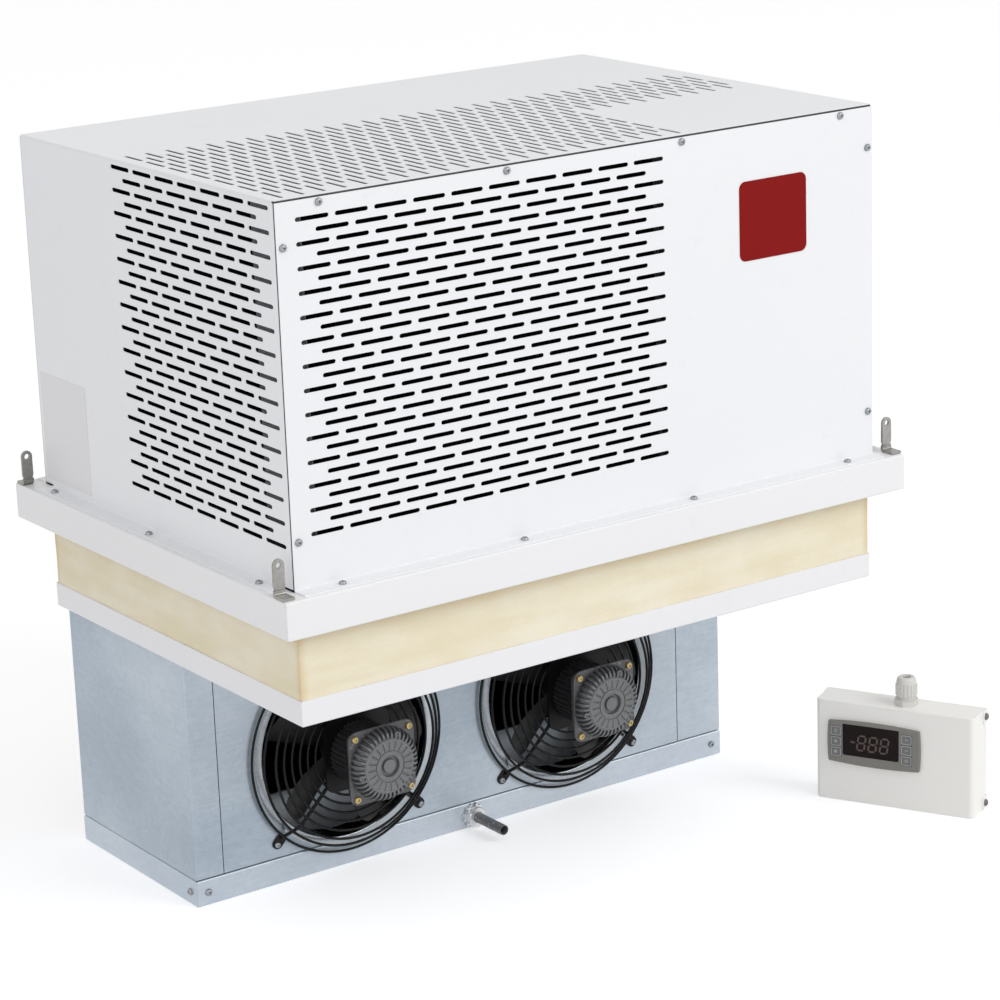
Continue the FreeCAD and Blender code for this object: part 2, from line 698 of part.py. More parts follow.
def casing_side(edge, inward, strip):
    """Casing side with its front strip and a narrow fold at the back."""
    side = sorted((edge, edge + inward * sheet))
    front = sorted((edge + inward * sheet, edge + inward * (strip - joint)))
    fold = sorted((edge + inward * sheet, edge + inward * flange))
    return block(*side, casing_front, casing_back, skin_low, skin_high).multiFuse([
        block(*front, casing_front, casing_front + sheet, skin_low, skin_high),
        block(*fold, casing_back - sheet, casing_back, skin_low, skin_high),
    ])


def casing_top():
    """Roof of the evaporator casing, under the plug's lower pan."""
    roof = block(casing_left, casing_right, casing_front, casing_back, skin_high, casing_roof)
    return roof.cut(pipe_pass(skin_high, casing_roof))


def fan_places():
    """The axes of the two fans."""
    return [Vector(fan_middle_x + i * fan_spacing / 2, 0, fan_axis_z) for i in (-1, 1)]


def fan_panel():
    """Front sheet with two round holes and folded edges at the top and bottom."""
    corners = [Vector(x, casing_front, z) for x, z in
               ((panel_near, skin_low), (panel_far, skin_low), (panel_far, skin_high), (panel_near, skin_high))]
    hole = throat_radius + throat_wall + seat_gap
    holes = [Part.Wire([Part.Circle(p + ALONG_Y * casing_front, ALONG_Y, hole).toShape()])
             for p in fan_places()]
    skin = sheet_with_holes(corners, holes, ALONG_Y * sheet)
    back = casing_front + sheet + flange
    return skin.fuse(block(panel_near, panel_far, casing_front + sheet, back, skin_high - sheet, skin_high))


def fan_rings():
    """Bright air rings set in the panel's holes."""
    return [pipe(throat_radius + throat_wall, throat_radius, p + ALONG_Y * casing_front, throat_length,
                 ALONG_Y) for p in fan_places()]


def guard_level(radius):
    """Depth of a guard ring's front: flat over the middle, then sloping back to the panel."""
    slope = max(0.0, radius - guard_flat_radius) / (guard_last - guard_flat_radius)
    return guard_face + slope * (guard_depth - 2 * guard_wire)


def guard_ring(place, radius):
    """One wire ring, as a many-sided flat band."""
    front, half = guard_level(radius), guard_wire / 2
    middle = Vector(place.x, front, place.z)
    rims = [around(middle, r, guard_sides, ALONG_X, ALONG_Z) for r in (radius + half, radius - half)]
    return sheet_with_holes(rims[0], [outline(rims[1])], ALONG_Y * guard_wire)


def fan_guard(place):
    """Wire rings welded on four arms, each arm with an ear that is screwed to the panel."""
    rings = [guard_ring(place, guard_first + guard_pitch * i) for i in range(guard_rings)]
    last, inner, back = guard_last, guard_first - guard_wire, guard_wire
    ear = casing_front - sheet
    knee = guard_flat_radius
    profile = [(inner, guard_face + back), (knee, guard_face + back), (last, guard_level(last) + back),
               (last + guard_wire, ear), (last + guard_wire, casing_front), (last - guard_arm, casing_front),
               (knee - guard_wire, guard_face + back + guard_arm), (inner, guard_face + back + guard_arm)]
    points = [Vector(place.x + r, y, place.z - guard_arm / 2) for r, y in profile]
    arm = prism(points, ALONG_Z * guard_arm)
    arm = arm.fuse(block(place.x + last, place.x + guard_ear_radius, ear, casing_front,
                         place.z - guard_ear_width / 2, place.z + guard_ear_width / 2))
    arms = []
    for i in range(4):
        turned = arm.copy()
        turned.rotate(place, ALONG_Y, 45 + 90 * i)
        arms.append(turned)
    return rings + arms


def rounded_square(place, size, corner, front, length):
    """A square plate with cut corners, facing along Y."""
    h, k = size / 2, size / 2 - corner
    shape = [(k, -h), (h, -k), (h, k), (k, h), (-k, h), (-h, k), (-h, -k), (-k, -h)]
    return prism([Vector(place.x + a, front, place.z + b) for a, b in shape], ALONG_Y * length)


def fan_motor(place):
    """Square plate on the guard's arms, core stack, ribbed bell and a flat grooved face."""
    plate_front = guard_face - motor_plate_thickness
    stack_front = plate_front - stack_length
    bell_front = stack_front - bell_length
    face_front = bell_front - face_length
    ribs = []
    step = 2 * pi / bell_ribs
    for i in range(bell_ribs):
        for share, radius in ((0.0, bell_radius - rib_height), (0.3, bell_radius), (0.7, bell_radius)):
            angle = step * (i + share)
            ribs.append(Vector(place.x + radius * cos(angle), bell_front, place.z + radius * sin(angle)))
    face = prism(around(Vector(place.x, face_front, place.z), face_radius, bell_ribs, ALONG_X, ALONG_Z),
                 ALONG_Y * face_length)
    motor = rounded_square(place, motor_plate, motor_plate_corner, plate_front, motor_plate_thickness)
    stack = rounded_square(place, stack_size, motor_plate_corner, stack_front, stack_length)
    motor = motor.multiFuse([stack, prism(ribs, ALONG_Y * bell_length), face])
    bore = rod(motor_shaft / 2 + shaft_fit, Vector(place.x, guard_face - shaft_depth - 1, place.z),
               shaft_depth + 1, ALONG_Y)
    return motor.cut(bore)


def fan_impeller(place):
    """Impeller behind the guard, its shaft running forward into the motor."""
    hub_front = guard_face + guard_arm + impeller_gap
    reach = -(hub_front - guard_face + shaft_depth)
    return impeller(Vector(place.x, hub_front, place.z), impeller_radius, impeller_hub,
                    impeller_length, motor_shaft, reach, evaporator_chords)


def drip_tray():
    """Open tray under the coil, with the drain hole in its front wall."""
    tray = block(casing_left, casing_right, casing_front, casing_back, 0, tray_height)
    tray = tray.cut(block(casing_left + sheet, casing_right - sheet, casing_front + sheet,
                          casing_back - sheet, sheet, tray_height))
    return tray.cut(rod(drain_thread / 2, Vector(0, casing_front, tray_height / 2), sheet, ALONG_Y))


def drain_spout():
    """Tube with a plain free end for a hose, and a thread from the nut to the inside of the tray."""
    start = Vector(0, casing_front - drain_length, tray_height / 2)
    threaded = nut_length + gasket_length + sheet + drain_inside
    length = drain_length + sheet + drain_inside
    tube = rod(drain_outside / 2, start, length - threaded, ALONG_Y)
    tube = tube.fuse(rod(drain_thread / 2, start + ALONG_Y * (length - threaded), threaded, ALONG_Y))
    return tube.cut(rod(drain_outside / 2 - drain_wall, start, length, ALONG_Y))


def drain_nut():
    """Hexagon nut on the spout, outside the gasket."""
    start = Vector(0, casing_front - gasket_length - nut_length, tray_height / 2)
    nut = hex_bar(start, nut_across, ALONG_Y * nut_length, ALONG_X, ALONG_Z)
    return nut.cut(rod(drain_thread / 2, start, nut_length, ALONG_Y))


def drain_gasket():
    """Toothed washer between the nut and the tray."""
    start = Vector(0, casing_front - gasket_length, tray_height / 2)
    rim = []
    for i in range(2 * gasket_teeth):
        radius = gasket_radius - tooth_depth * (i % 2)
        angle = pi * i / gasket_teeth
        rim.append(start + ALONG_X * (radius * cos(angle)) + ALONG_Z * (radius * sin(angle)))
    washer = prism(rim, ALONG_Y * gasket_length)
    return washer.cut(rod(drain_thread / 2, start, gasket_length, ALONG_Y))


evaporator_left, evaporator_right = casing_left + evaporator_side, casing_right - evaporator_side
evaporator_far = casing_back - evaporator_back
evaporator_near = evaporator_far - evaporator_depth
evaporator_low, evaporator_high = casing_floor + evaporator_foot, skin_high - evaporator_head


def evaporator_fins():
    return fin_stack(evaporator_left, evaporator_right, evaporator_near, evaporator_far,
                     evaporator_low, evaporator_high, evaporator_fin_pitch)


def evaporator_tubes():
    """Columns of passes, front to back."""
    levels = even_levels(evaporator_low, evaporator_high, evaporator_passes)
    step = evaporator_depth / evaporator_columns
    return [serpentine(evaporator_left - tube_stub, evaporator_right + tube_stub,
                       evaporator_near + step * (i + 0.5), levels, evaporator_tube)
            for i in range(evaporator_columns)]


def evaporator_end_plates():
    """Plates that carry the coil, from the tray's floor to the casing roof."""
    return [block(x, x + sheet, evaporator_near - 6, evaporator_far + 6, sheet, skin_high)
            for x in (evaporator_left - sheet - seat_gap, evaporator_right + seat_gap)]


def defrost_heaters():
    """Rods under the coil, between the end plates."""
    level = evaporator_low - heater_radius - heater_gap
    places = (evaporator_near + 20, (evaporator_near + evaporator_far) / 2, evaporator_far - 20)
    length = evaporator_right - evaporator_left
    return [prism(around(Vector(evaporator_left, y, level), heater_radius, 6, ALONG_Y, ALONG_Z),
                  ALONG_X * length) for y in places]


def casing_screws():
    """Screws of the guards' ears and of the tray."""
    heads = []
    ear = casing_front - sheet
    middle = guard_ear_radius - screw_across / 2 - 1
    for p in fan_places():
        corners = around(Vector(p.x, ear, p.z), middle, 4, ALONG_X, ALONG_Z, pi / 4)
        heads += [hex_bar(c, screw_across - 1, -ALONG_Y * screw_height, ALONG_X, ALONG_Z) for c in corners]
    level = tray_height / 2
    front = [Vector(x, casing_front, level) for x in (casing_left + tray_screw, casing_right - tray_screw)]
    heads += screw_heads(front, -ALONG_Y, ALONG_X, ALONG_Z)
    near = casing_front + tray_screw
    heads += screw_heads([Vector(casing_left, near, level)], -ALONG_X, ALONG_Y, ALONG_Z)
    heads += screw_heads([Vector(casing_right, near, level)], ALONG_X, ALONG_Y, ALONG_Z)
    return heads


def stand_control(shape):
    """Turns a control-box piece from its own frame to its place on the floor."""
    placed = shape.copy()
    placed.rotate(Vector(0, 0, 0), ALONG_Z, control_turn)
    placed.translate(Vector(casing_right + control_right, casing_front - control_front, 0))
    return placed


# In the control box's own frame the front face is at y 0 and looks along -Y,
# and x 0 is the middle of its width.
cover_left, cover_right = -control_width / 2, control_width / 2
cover_back = control_depth - back_plate
fascia_x = cover_left + fascia_left
fascia_high = control_height - fascia_top
fascia_low = fascia_high - fascia_height
controller_x = fascia_x + (fascia_width - controller_width) / 2
controller_z = fascia_low + (fascia_height - controller_height) / 2
cable_x = cover_left + cable_gland_x
cable_y = control_depth / 2


def control_box_cover():
    """Folded cover with rounded upright edges, open at the back, with the controller's cut-out."""
    cover = block(cover_left, cover_right, 0, cover_back, 0, control_height)
    corners = [e for e in cover.Edges if abs(e.tangentAt(e.FirstParameter).z) > 0.9
               and e.Vertexes[0].Point.y < 1]
    cover = cover.makeFillet(control_corner, corners)
    inside = block(cover_left + control_wall, cover_right - control_wall, control_wall, cover_back,
                   control_wall, control_height - control_wall)
    corners = [e for e in inside.Edges if abs(e.tangentAt(e.FirstParameter).z) > 0.9
               and e.Vertexes[0].Point.y < control_wall + 1]
    cover = cover.cut(inside.makeFillet(control_corner - control_wall, corners))
    cover = cover.cut(block(controller_x, controller_x + controller_width, 0, control_wall,
                            controller_z, controller_z + controller_height))
    return cover.cut(prism(around(Vector(cable_x, cable_y, control_height - control_wall),
                                  gland_foot_radius, 12, ALONG_X, ALONG_Y), ALONG_Z * control_wall))


def control_box_base():
    """Back plate with wall holes and side tabs over the cover."""
    base = block(cover_left, cover_right, cover_back, control_depth, 0, control_height)
    tabs = []
    for edge, out in ((cover_left, -1), (cover_right, 1)):
        across = sorted((edge, edge + out * control_wall))
        for low in (0, control_height - tab_height):
            tabs.append(block(*across, control_depth - tab_depth, control_depth, low, low + tab_height))
    base = base.multiFuse(tabs)
    level = control_height - wall_hole_inset
    holes = [rod(wall_hole / 2, Vector(x, cover_back, level), back_plate, ALONG_Y)
             for x in (cover_left + wall_hole_inset, cover_right - wall_hole_inset)]
    return base.cut(holes[0].fuse(holes[1]))


def key_corners():
    """Lower left corner of each key, left column and then right, from the top down."""
    tops = [fascia_high - key_top - key_pitch * i for i in range(3)]
    return [(fascia_x + side, top - key_height) for side in (left_keys, right_keys) for top in tops]


def control_fascia():
    """Grey front of the controller: bowed edges, a recessed window and six key wells."""
    x0, x1, z0, z1 = fascia_x, fascia_x + fascia_width, fascia_low, fascia_high
    xm, zm, bow = (x0 + x1) / 2, (z0 + z1) / 2, fascia_bow
    y = -fascia_thickness
    edges = [Part.Arc(Vector(x0, y, z0), Vector(xm, y, z0 - bow), Vector(x1, y, z0)),
             Part.Arc(Vector(x1, y, z0), Vector(x1 + bow / 2, y, zm), Vector(x1, y, z1)),
             Part.Arc(Vector(x1, y, z1), Vector(xm, y, z1 + bow), Vector(x0, y, z1)),
             Part.Arc(Vector(x0, y, z1), Vector(x0 - bow / 2, y, zm), Vector(x0, y, z0))]
    plate = Part.Face(Part.Wire([e.toShape() for e in edges])).extrude(ALONG_Y * fascia_thickness)
    wells = [block(x - key_gap, x + key_width + key_gap, y, 0, z - key_gap, z + key_height + key_gap)
             for x, z in key_corners()]
    left, high = x0 + window_left, z1 - window_top
    wells.append(block(left, left + window_width, y, y + window_thickness, high - window_height, high))
    return plate.cut(wells[0].multiFuse(wells[1:]))


def control_display():
    """Dark window, flush in its recess."""
    left, high, y = fascia_x + window_left, fascia_high - window_top, -fascia_thickness
    return block(left, left + window_width, y, y + window_thickness, high - window_height, high)


def controller_body():
    """The controller behind the fascia, through the cover's cut-out."""
    return block(controller_x, controller_x + controller_width, 0, controller_depth,
                 controller_z, controller_z + controller_height)


def control_key(corner):
    """One key cap, a little proud of the fascia."""
    x, z = corner
    y = -fascia_thickness - key_proud
    cap = block(x, x + key_width, y, y + key_thickness, z, z + key_height)
    return cap.makeChamfer(0.5, [e for e in cap.Edges if e.BoundBox.YMax < y + 0.1])


def control_gland():
    """Cable gland on top: foot, hexagon, neck, ribbed cap and tapered crown, with its bore."""
    low = Vector(cable_x, cable_y, control_height)
    nut = hex_bar(low, cable_gland_across, ALONG_Z * gland_hex, ALONG_X, ALONG_Y)
    neck = prism(around(low + ALONG_Z * gland_hex, cable_gland_across * 0.42, 12, ALONG_X, ALONG_Y),
                 ALONG_Z * gland_neck)
    cap_low = low + ALONG_Z * (gland_hex + gland_neck)
    cap = prism(around(cap_low, cable_gland_across * 0.52, 12, ALONG_X, ALONG_Y), ALONG_Z * gland_cap)
    crown = [outline(around(cap_low + ALONG_Z * rise, cable_gland_across * share, 12, ALONG_X, ALONG_Y))
             for rise, share in ((gland_cap, 0.5), (gland_cap + gland_dome, 0.36))]
    foot = prism(around(low - ALONG_Z * gland_foot, gland_foot_radius, 12, ALONG_X, ALONG_Y),
                 ALONG_Z * gland_foot)
    length = gland_foot + gland_hex + gland_neck + gland_cap + gland_dome
    gland = foot.multiFuse([nut, neck, cap, Part.makeLoft(crown, True, True)]).removeSplitter()
    return gland.cut(rod(cable_gland_bore / 2, low - ALONG_Z * gland_foot, length, ALONG_Z))


def control_screws():
    """One screw in each side tab."""
    y = control_depth - tab_depth / 2
    levels = (tab_height / 2, control_height - tab_height / 2)
    right = [Vector(cover_right + control_wall, y, z) for z in levels]
    left = [Vector(cover_left - control_wall, y, z) for z in levels]
    return (screw_heads(right, ALONG_X, ALONG_Y, ALONG_Z)
            + screw_heads(left, -ALONG_X, ALONG_Y, ALONG_Z))


def as_shape(solids):
    """One shape from a solid or a list of solids."""
    return Part.makeCompound(solids) if isinstance(solids, list) else solids


left_fan, right_fan = fan_places()
parts = {
    "base_pan": base_pan(),
    "hood_front_panel": hood_front_panel(),
    "hood_left_panel": hood_side_panel(hood_left, 1, True),
    "hood_right_panel": hood_side_panel(hood_right, -1, False),
    "hood_back_panel": hood_back_panel(),
    "hood_top_panel": hood_top_panel(),
    "panel_screws": hood_screws() + casing_screws(),
    "lifting_lugs": lifting_lugs(),
    "plug_foam": plug_foam(),
    "plug_lower_pan": plug_lower_pan(),
    "condenser_fins": condenser_fins(),
    "condenser_tubes": condenser_tubes(),
    "condenser_end_plates": condenser_end_plates(),
    "condenser_shroud": condenser_shroud(),
    "condenser_fan_motor": condenser_fan_motor(),
    "condenser_fan_bracket": condenser_fan_bracket(),
    "condenser_impeller": condenser_impeller(),
    "compressor": compressor(),
    "compressor_feet": compressor_feet(),
    "receiver": receiver(),
    "filter_drier": filter_drier(),
    "liquid_line": liquid_line(),
    "discharge_line": discharge_line(),
    "suction_line": suction_line(),
    "electrical_box": electrical_box(),
    "mains_gland": mains_gland(),
    "casing_left": casing_side(casing_left, 1, panel_left),
    "casing_right": casing_side(casing_right, -1, panel_right),
    "casing_top": casing_top(),
    "fan_panel": fan_panel(),
    "fan_rings": fan_rings(),
    "fan_guard_left": fan_guard(left_fan),
    "fan_guard_right": fan_guard(right_fan),
    "fan_motor_left": fan_motor(left_fan),
    "fan_motor_right": fan_motor(right_fan),
    "fan_impeller_left": fan_impeller(left_fan),
    "fan_impeller_right": fan_impeller(right_fan),
    "drip_tray": drip_tray(),
    "drain_spout": drain_spout(),
    "drain_nut": drain_nut(),
    "drain_gasket": drain_gasket(),
    "evaporator_fins": evaporator_fins(),
    "evaporator_tubes": evaporator_tubes(),
    "evaporator_end_plates": evaporator_end_plates(),
    "defrost_heaters": defrost_heaters(),
}

control_parts = {
    "control_box_cover": control_box_cover(),
    "control_box_base": control_box_base(),
    "control_fascia": control_fascia(),
    "control_display": control_display(),
    "controller_body": controller_body(),
    "control_gland": control_gland(),
    "control_screws": control_screws(),
}
key_names = ("key_light", "key_defrost", "key_set", "key_up", "key_down", "key_power")
for name, corner in zip(key_names, key_corners()):
    control_parts[name] = control_key(corner)
for name, solids in control_parts.items():
    parts[name] = stand_control(as_shape(solids))

os.makedirs("parts", exist_ok=True)
for name, solids in parts.items():
    as_shape(solids).exportStep("parts/" + name + ".step")
print(len(parts), "nodes written")
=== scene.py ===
from math import cos, pi, radians, sin

import bmesh
import bpy
import numpy as np
from mathutils import Matrix, Vector


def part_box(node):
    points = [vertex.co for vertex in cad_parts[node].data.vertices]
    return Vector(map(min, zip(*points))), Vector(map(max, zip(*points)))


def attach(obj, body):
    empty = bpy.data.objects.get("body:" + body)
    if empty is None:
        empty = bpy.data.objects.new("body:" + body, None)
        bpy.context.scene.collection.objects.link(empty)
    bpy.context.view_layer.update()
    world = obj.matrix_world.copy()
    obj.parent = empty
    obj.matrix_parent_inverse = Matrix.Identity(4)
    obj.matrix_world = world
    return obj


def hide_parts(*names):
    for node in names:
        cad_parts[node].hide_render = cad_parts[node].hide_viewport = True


# A ceiling-mounted refrigeration unit with its loose control box, in metres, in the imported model's frame.
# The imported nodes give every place. Pieces that show are made here as worked-out surfaces.

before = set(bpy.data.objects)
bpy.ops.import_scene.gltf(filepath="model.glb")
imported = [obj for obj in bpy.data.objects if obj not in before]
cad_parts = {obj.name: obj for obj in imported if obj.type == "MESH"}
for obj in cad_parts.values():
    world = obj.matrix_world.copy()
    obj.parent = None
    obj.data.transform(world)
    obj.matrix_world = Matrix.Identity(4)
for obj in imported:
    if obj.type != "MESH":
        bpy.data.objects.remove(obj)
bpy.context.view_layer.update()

MERGE = 1e-6
CLOSED = 0.0001  # radius at which the middle of a turned form counts as closed
SHEET = 0.0015
BEND = 0.002  # outside radius of a folded edge
BEND_STEPS = 4

hood_low, hood_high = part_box("hood_top_panel")
pan_low, pan_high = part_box("base_pan")
HOOD_LEFT, HOOD_RIGHT, HOOD_FRONT, HOOD_BACK = hood_low.x, hood_high.x, hood_low.y, hood_high.y
HOOD_ROOF, PAN_TOP = hood_high.z, pan_high.z

# Slots of the grilles
SLOT_LENGTH, SLOT_WIDTH, SLOT_PITCH, ROW_PITCH = 0.038, 0.0045, 0.045, 0.012
CELL = 4  # lattice squares along each side of a slot's cell
FRONT_SLOTS, FRONT_ROWS, FRONT_GRILLE_X, FRONT_GRILLE_Z = 10, 27, 0.023, 0.055
SIDE_SLOTS, SIDE_ROWS, SIDE_GRILLE_Y, SIDE_GRILLE_Z = 7, 29, 0.010, 0.044
TOP_ROWS, TOP_GRILLE_X, TOP_GRILLE_Y = 41, 0.017, 0.010
REAR_BAND_ROWS, REAR_BAND_FIRST = 19, 4
FOOT, FLANGE = 0.019, 0.015


# Forms: each is a pair of points and groups of faces

def grid(points, wrap_rows=False, wrap_columns=False, flip=False):
    """A form from rows and columns of points, one quad between each four neighbours."""
    points = np.asarray(points, float)
    rows, columns = points.shape[:2]
    index = np.arange(rows * columns).reshape(rows, columns)
    if wrap_rows:
        index = np.vstack([index, index[:1]])
    if wrap_columns:
        index = np.hstack([index, index[:, :1]])
    quads = np.stack([index[:-1, :-1], index[:-1, 1:], index[1:, 1:], index[1:, :-1]], -1).reshape(-1, 4)
    return points.reshape(-1, 3), [quads[:, ::-1] if flip else quads]


def polygon(points, flip=False):
    """A flat form with one face through the points."""
    order = np.arange(len(points))[None]
    return np.asarray(points, float), [order[:, ::-1] if flip else order]


def joined(*forms):
    """Several forms as one."""
    points, faces, shift = [], [], 0
    for some, groups in forms:
        points.append(some)
        faces += [group + shift for group in groups]
        shift += len(some)
    return np.concatenate(points), faces


def moved(form, matrix):
    """A form carried through a transform."""
    turn = np.array(matrix)
    return form[0] @ turn[:3, :3].T + turn[:3, 3], form[1]


def rounded_path(corners, radius, steps=BEND_STEPS):
    """An open line through flat corners, each inner corner turned on an arc of the radius.
    The arc's middle lies on the corner's bisector, radius over the cosine of half the turn away."""
    corners = [np.array(c, float) for c in corners]
    line = [corners[0]]
    for before, corner, after in zip(corners, corners[1:], corners[2:]):
        into, out = corner - before, after - corner
        into, out = into / np.linalg.norm(into), out / np.linalg.norm(out)
        turn = np.arctan2(into[0] * out[1] - into[1] * out[0], into @ out)
        reach = radius * abs(np.tan(turn / 2))
        side = np.array([-into[1], into[0]]) * np.sign(turn)
        middle = corner - into * reach + side * radius
        angles = np.linspace(0, abs(turn), steps + 1)
        line += [middle - side * radius * cos(a) + into * radius * sin(a) for a in angles]
    return np.array(line + [corners[-1]])


def carried(profile, low, high, apart=None, columns=2):
    """A profile of (outward, height) carried round a rectangle with mitred corners. Rows marked apart
    stand back from the mitre, which leaves the open seam of a folded corner."""
    out, height = np.asarray(profile, float).T
    back = np.zeros(len(out)) if apart is None else np.asarray(apart, float)
    signs = np.array([(-1, -1), (1, -1), (1, 1), (-1, 1)], float)
    corners = np.where(signs < 0, np.array(low[:2]), np.array(high[:2]))
    share = np.linspace(0, 1, columns)[None, :, None]
    sides = []
    for a, b in ((0, 1), (1, 2), (2, 3), (3, 0)):
        along = np.sign(corners[b] - corners[a])
        start = corners[a] + signs[a] * out[:, None] + along * back[:, None]
        end = corners[b] + signs[b] * out[:, None] - along * back[:, None]
        flat = start[:, None] * (1 - share) + end[:, None] * share
        levels = np.repeat(height[:, None, None], columns, 1)
        sides.append(grid(np.concatenate([flat, levels], 2)))
    return joined(*sides)


def upright(path, levels):
    """A line in plan, (x, y), drawn straight up through the levels."""
    path = np.asarray(path, float)
    points = np.zeros((len(levels), len(path), 3))
    points[:, :, :2] = path
    points[:, :, 2] = np.asarray(levels, float)[:, None]
    return grid(points)


def revolved(profile, middle, axis, count=48, twist=None, closed=False):
    """A profile of (radius, distance along the axis) turned about the axis through the middle.
    The twist function may change radius and distance by angle: it takes and gives (radius, distance)."""
    radius, along = np.asarray(profile, float).T
    angle = np.arange(count) * 2 * pi / count
    radius, along = np.repeat(radius[:, None], count, 1), np.repeat(along[:, None], count, 1)
    if twist:
        radius, along = twist(radius, along, angle[None, :])
    axis = np.array(axis, float)
    side = np.array([1.0, 0, 0]) if abs(axis[0]) < 0.5 else np.array([0, 1.0, 0])
    up = np.cross(axis, side)
    spoke = np.cos(angle)[:, None] * side + np.sin(angle)[:, None] * up
    points = np.array(middle, float) + radius[..., None] * spoke[None] + along[..., None] * axis
    return grid(points, wrap_rows=closed, wrap_columns=True)


def tube(path, radius, normal, sides=10, closed=False):
    """A round wire along a flat path. Its section stands square to the path: one axis is the plane's
    normal, the other is the normal crossed with the path's direction."""
    path = np.asarray(path, float)
    ahead = np.roll(path, -1, 0) - np.roll(path, 1, 0)
    if not closed:
        ahead[0], ahead[-1] = path[1] - path[0], path[-1] - path[-2]
    ahead /= np.linalg.norm(ahead, axis=1)[:, None]
    normal = np.array(normal, float)
    across = np.cross(normal, ahead)
    angle = np.arange(sides) * 2 * pi / sides
    ring = radius * (np.cos(angle)[None, :, None] * normal + np.sin(angle)[None, :, None] * across[:, None])
    body = grid(path[:, None] + ring, wrap_rows=closed, wrap_columns=True)
    if closed:
        return body
    ends = [polygon(path[i] + ring[i]) for i in (0, -1)]
    return joined(body, *ends)


def prism(outline, start, along, u, v):
    """A flat outline of (a, b), set at start on the directions u and v, pushed along and capped."""
    outline = np.asarray(outline, float)
    base = np.array(start, float) + outline[:, :1] * np.array(u, float) + outline[:, 1:] * np.array(v, float)
    top = base + np.array(along, float)
    return joined(grid(np.stack([base, top]), wrap_columns=True), polygon(base), polygon(top))


def slab(low, high):
    """A closed block between two corners."""
    (x0, y0, z0), (x1, y1, z1) = low, high
    return prism([(x0, y0), (x1, y0), (x1, y1), (x0, y1)], (0, 0, z0), (0, 0, z1 - z0), (1, 0, 0), (0, 1, 0))


def round_corners(width, height, radius, steps=6):
    """The outline of a rectangle about the origin with quarter circles at its corners."""
    angle = np.linspace(0, pi / 2, steps + 1)
    arc = radius * np.stack([np.cos(angle), np.sin(angle)], 1)
    a, b = width / 2 - radius, height / 2 - radius
    turned_arc = arc[:, ::-1] * (-1, 1)
    return np.concatenate([arc + (a, b), turned_arc + (-a, b), -arc + (-a, -b), -turned_arc + (a, -b)])


def rim_to_box(middle, radius, low, high, per_side, rings=2):
    """A flat grid from a round hole out to a rectangle: rows run from the circle to the edge, and each
    column keeps the direction of its point on the edge. Gives points of (a, b)."""
    share = np.arange(per_side) / per_side
    (a0, b0), (a1, b1) = low, high
    edge = np.concatenate([
        np.stack([a0 + (a1 - a0) * share, np.full(per_side, b0)], 1),
        np.stack([np.full(per_side, a1), b0 + (b1 - b0) * share], 1),
        np.stack([a1 - (a1 - a0) * share, np.full(per_side, b1)], 1),
        np.stack([np.full(per_side, a0), b1 - (b1 - b0) * share], 1)])
    out = edge - middle
    circle = middle + radius * out / np.linalg.norm(out, axis=1)[:, None]
    steps = np.linspace(0, 1, rings)[:, None, None]
    return circle * (1 - steps) + edge * steps


# Pieces

def piece(name, form, finish, body="unit", stands_for="", wall=0.0, ease=0.0, sharp=38, turn=True):
    """One finished piece. Points that meet are merged and faces turned outwards, then a wall or eased
    edges are made if asked, and flat faces keep their own normals beside bends."""
    points, groups = form
    mesh = bpy.data.meshes.new(name)
    mesh.from_pydata(points.tolist(), [], [face for group in groups for face in group.tolist()])
    shape = bmesh.new()
    shape.from_mesh(mesh)
    bmesh.ops.delete(shape, geom=[v for v in shape.verts if not v.link_faces], context="VERTS")
    bmesh.ops.remove_doubles(shape, verts=shape.verts, dist=MERGE)
    if turn and not wall:
        bmesh.ops.recalc_face_normals(shape, faces=shape.faces)
    shape.to_mesh(mesh)
    shape.free()
    thing = bpy.data.objects.new(name, mesh)
    bpy.context.scene.collection.objects.link(thing)
    if wall:
        solid = thing.modifiers.new("wall", "SOLIDIFY")
        solid.thickness, solid.offset, solid.use_even_offset = wall, -1, True
    if ease:
        bevel = thing.modifiers.new("ease", "BEVEL")
        bevel.width, bevel.segments, bevel.limit_method = ease, 2, "ANGLE"
        bevel.angle_limit = radians(sharp)
    if wall or ease:
        settled = bpy.data.meshes.new_from_object(
            thing.evaluated_get(bpy.context.evaluated_depsgraph_get()))
        settled.name = name
        thing.modifiers.clear()
        thing.data = settled
    thing.data.shade_smooth()
    thing.data.set_sharp_from_angle(angle=radians(sharp))
    weigh = thing.modifiers.new("flat", "WEIGHTED_NORMAL")
    weigh.keep_sharp = True
    thing.data.materials.clear()
    thing.data.materials.append(finish)
    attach(thing, body)
    if stands_for:
        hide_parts(stands_for)
    return thing


def dress(finish, slot, *nodes):
    """Gives carried-over nodes their finish."""
    for node in nodes:
        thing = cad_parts[node]
        thing.data.materials.clear()
        thing.data.materials.append(finish)


# Shader arithmetic

class Value:
    """A number that changes over a surface. Python's operators on it add Math nodes."""

    def __init__(self, paint, socket):
        self.paint, self.socket = paint, socket

    def math(self, operation, *others):
        return self.paint.node("Math", {"operation": operation}, dict(enumerate((self,) + others)))

    def __add__(self, other):
        return self.math("ADD", other)

    def __sub__(self, other):
        return self.math("SUBTRACT", other)

    def __mul__(self, other):
        return self.math("MULTIPLY", other)

    def __rsub__(self, other):
        return self * -1 + other

    __radd__, __rmul__ = __add__, __mul__

    def between(self, low, high):
        """Nought below low, one above high, and a smooth step between them."""
        return self.paint.node("MapRange", {"interpolation_type": "SMOOTHSTEP"},
                               {"Value": self, "From Min": low, "From Max": high})


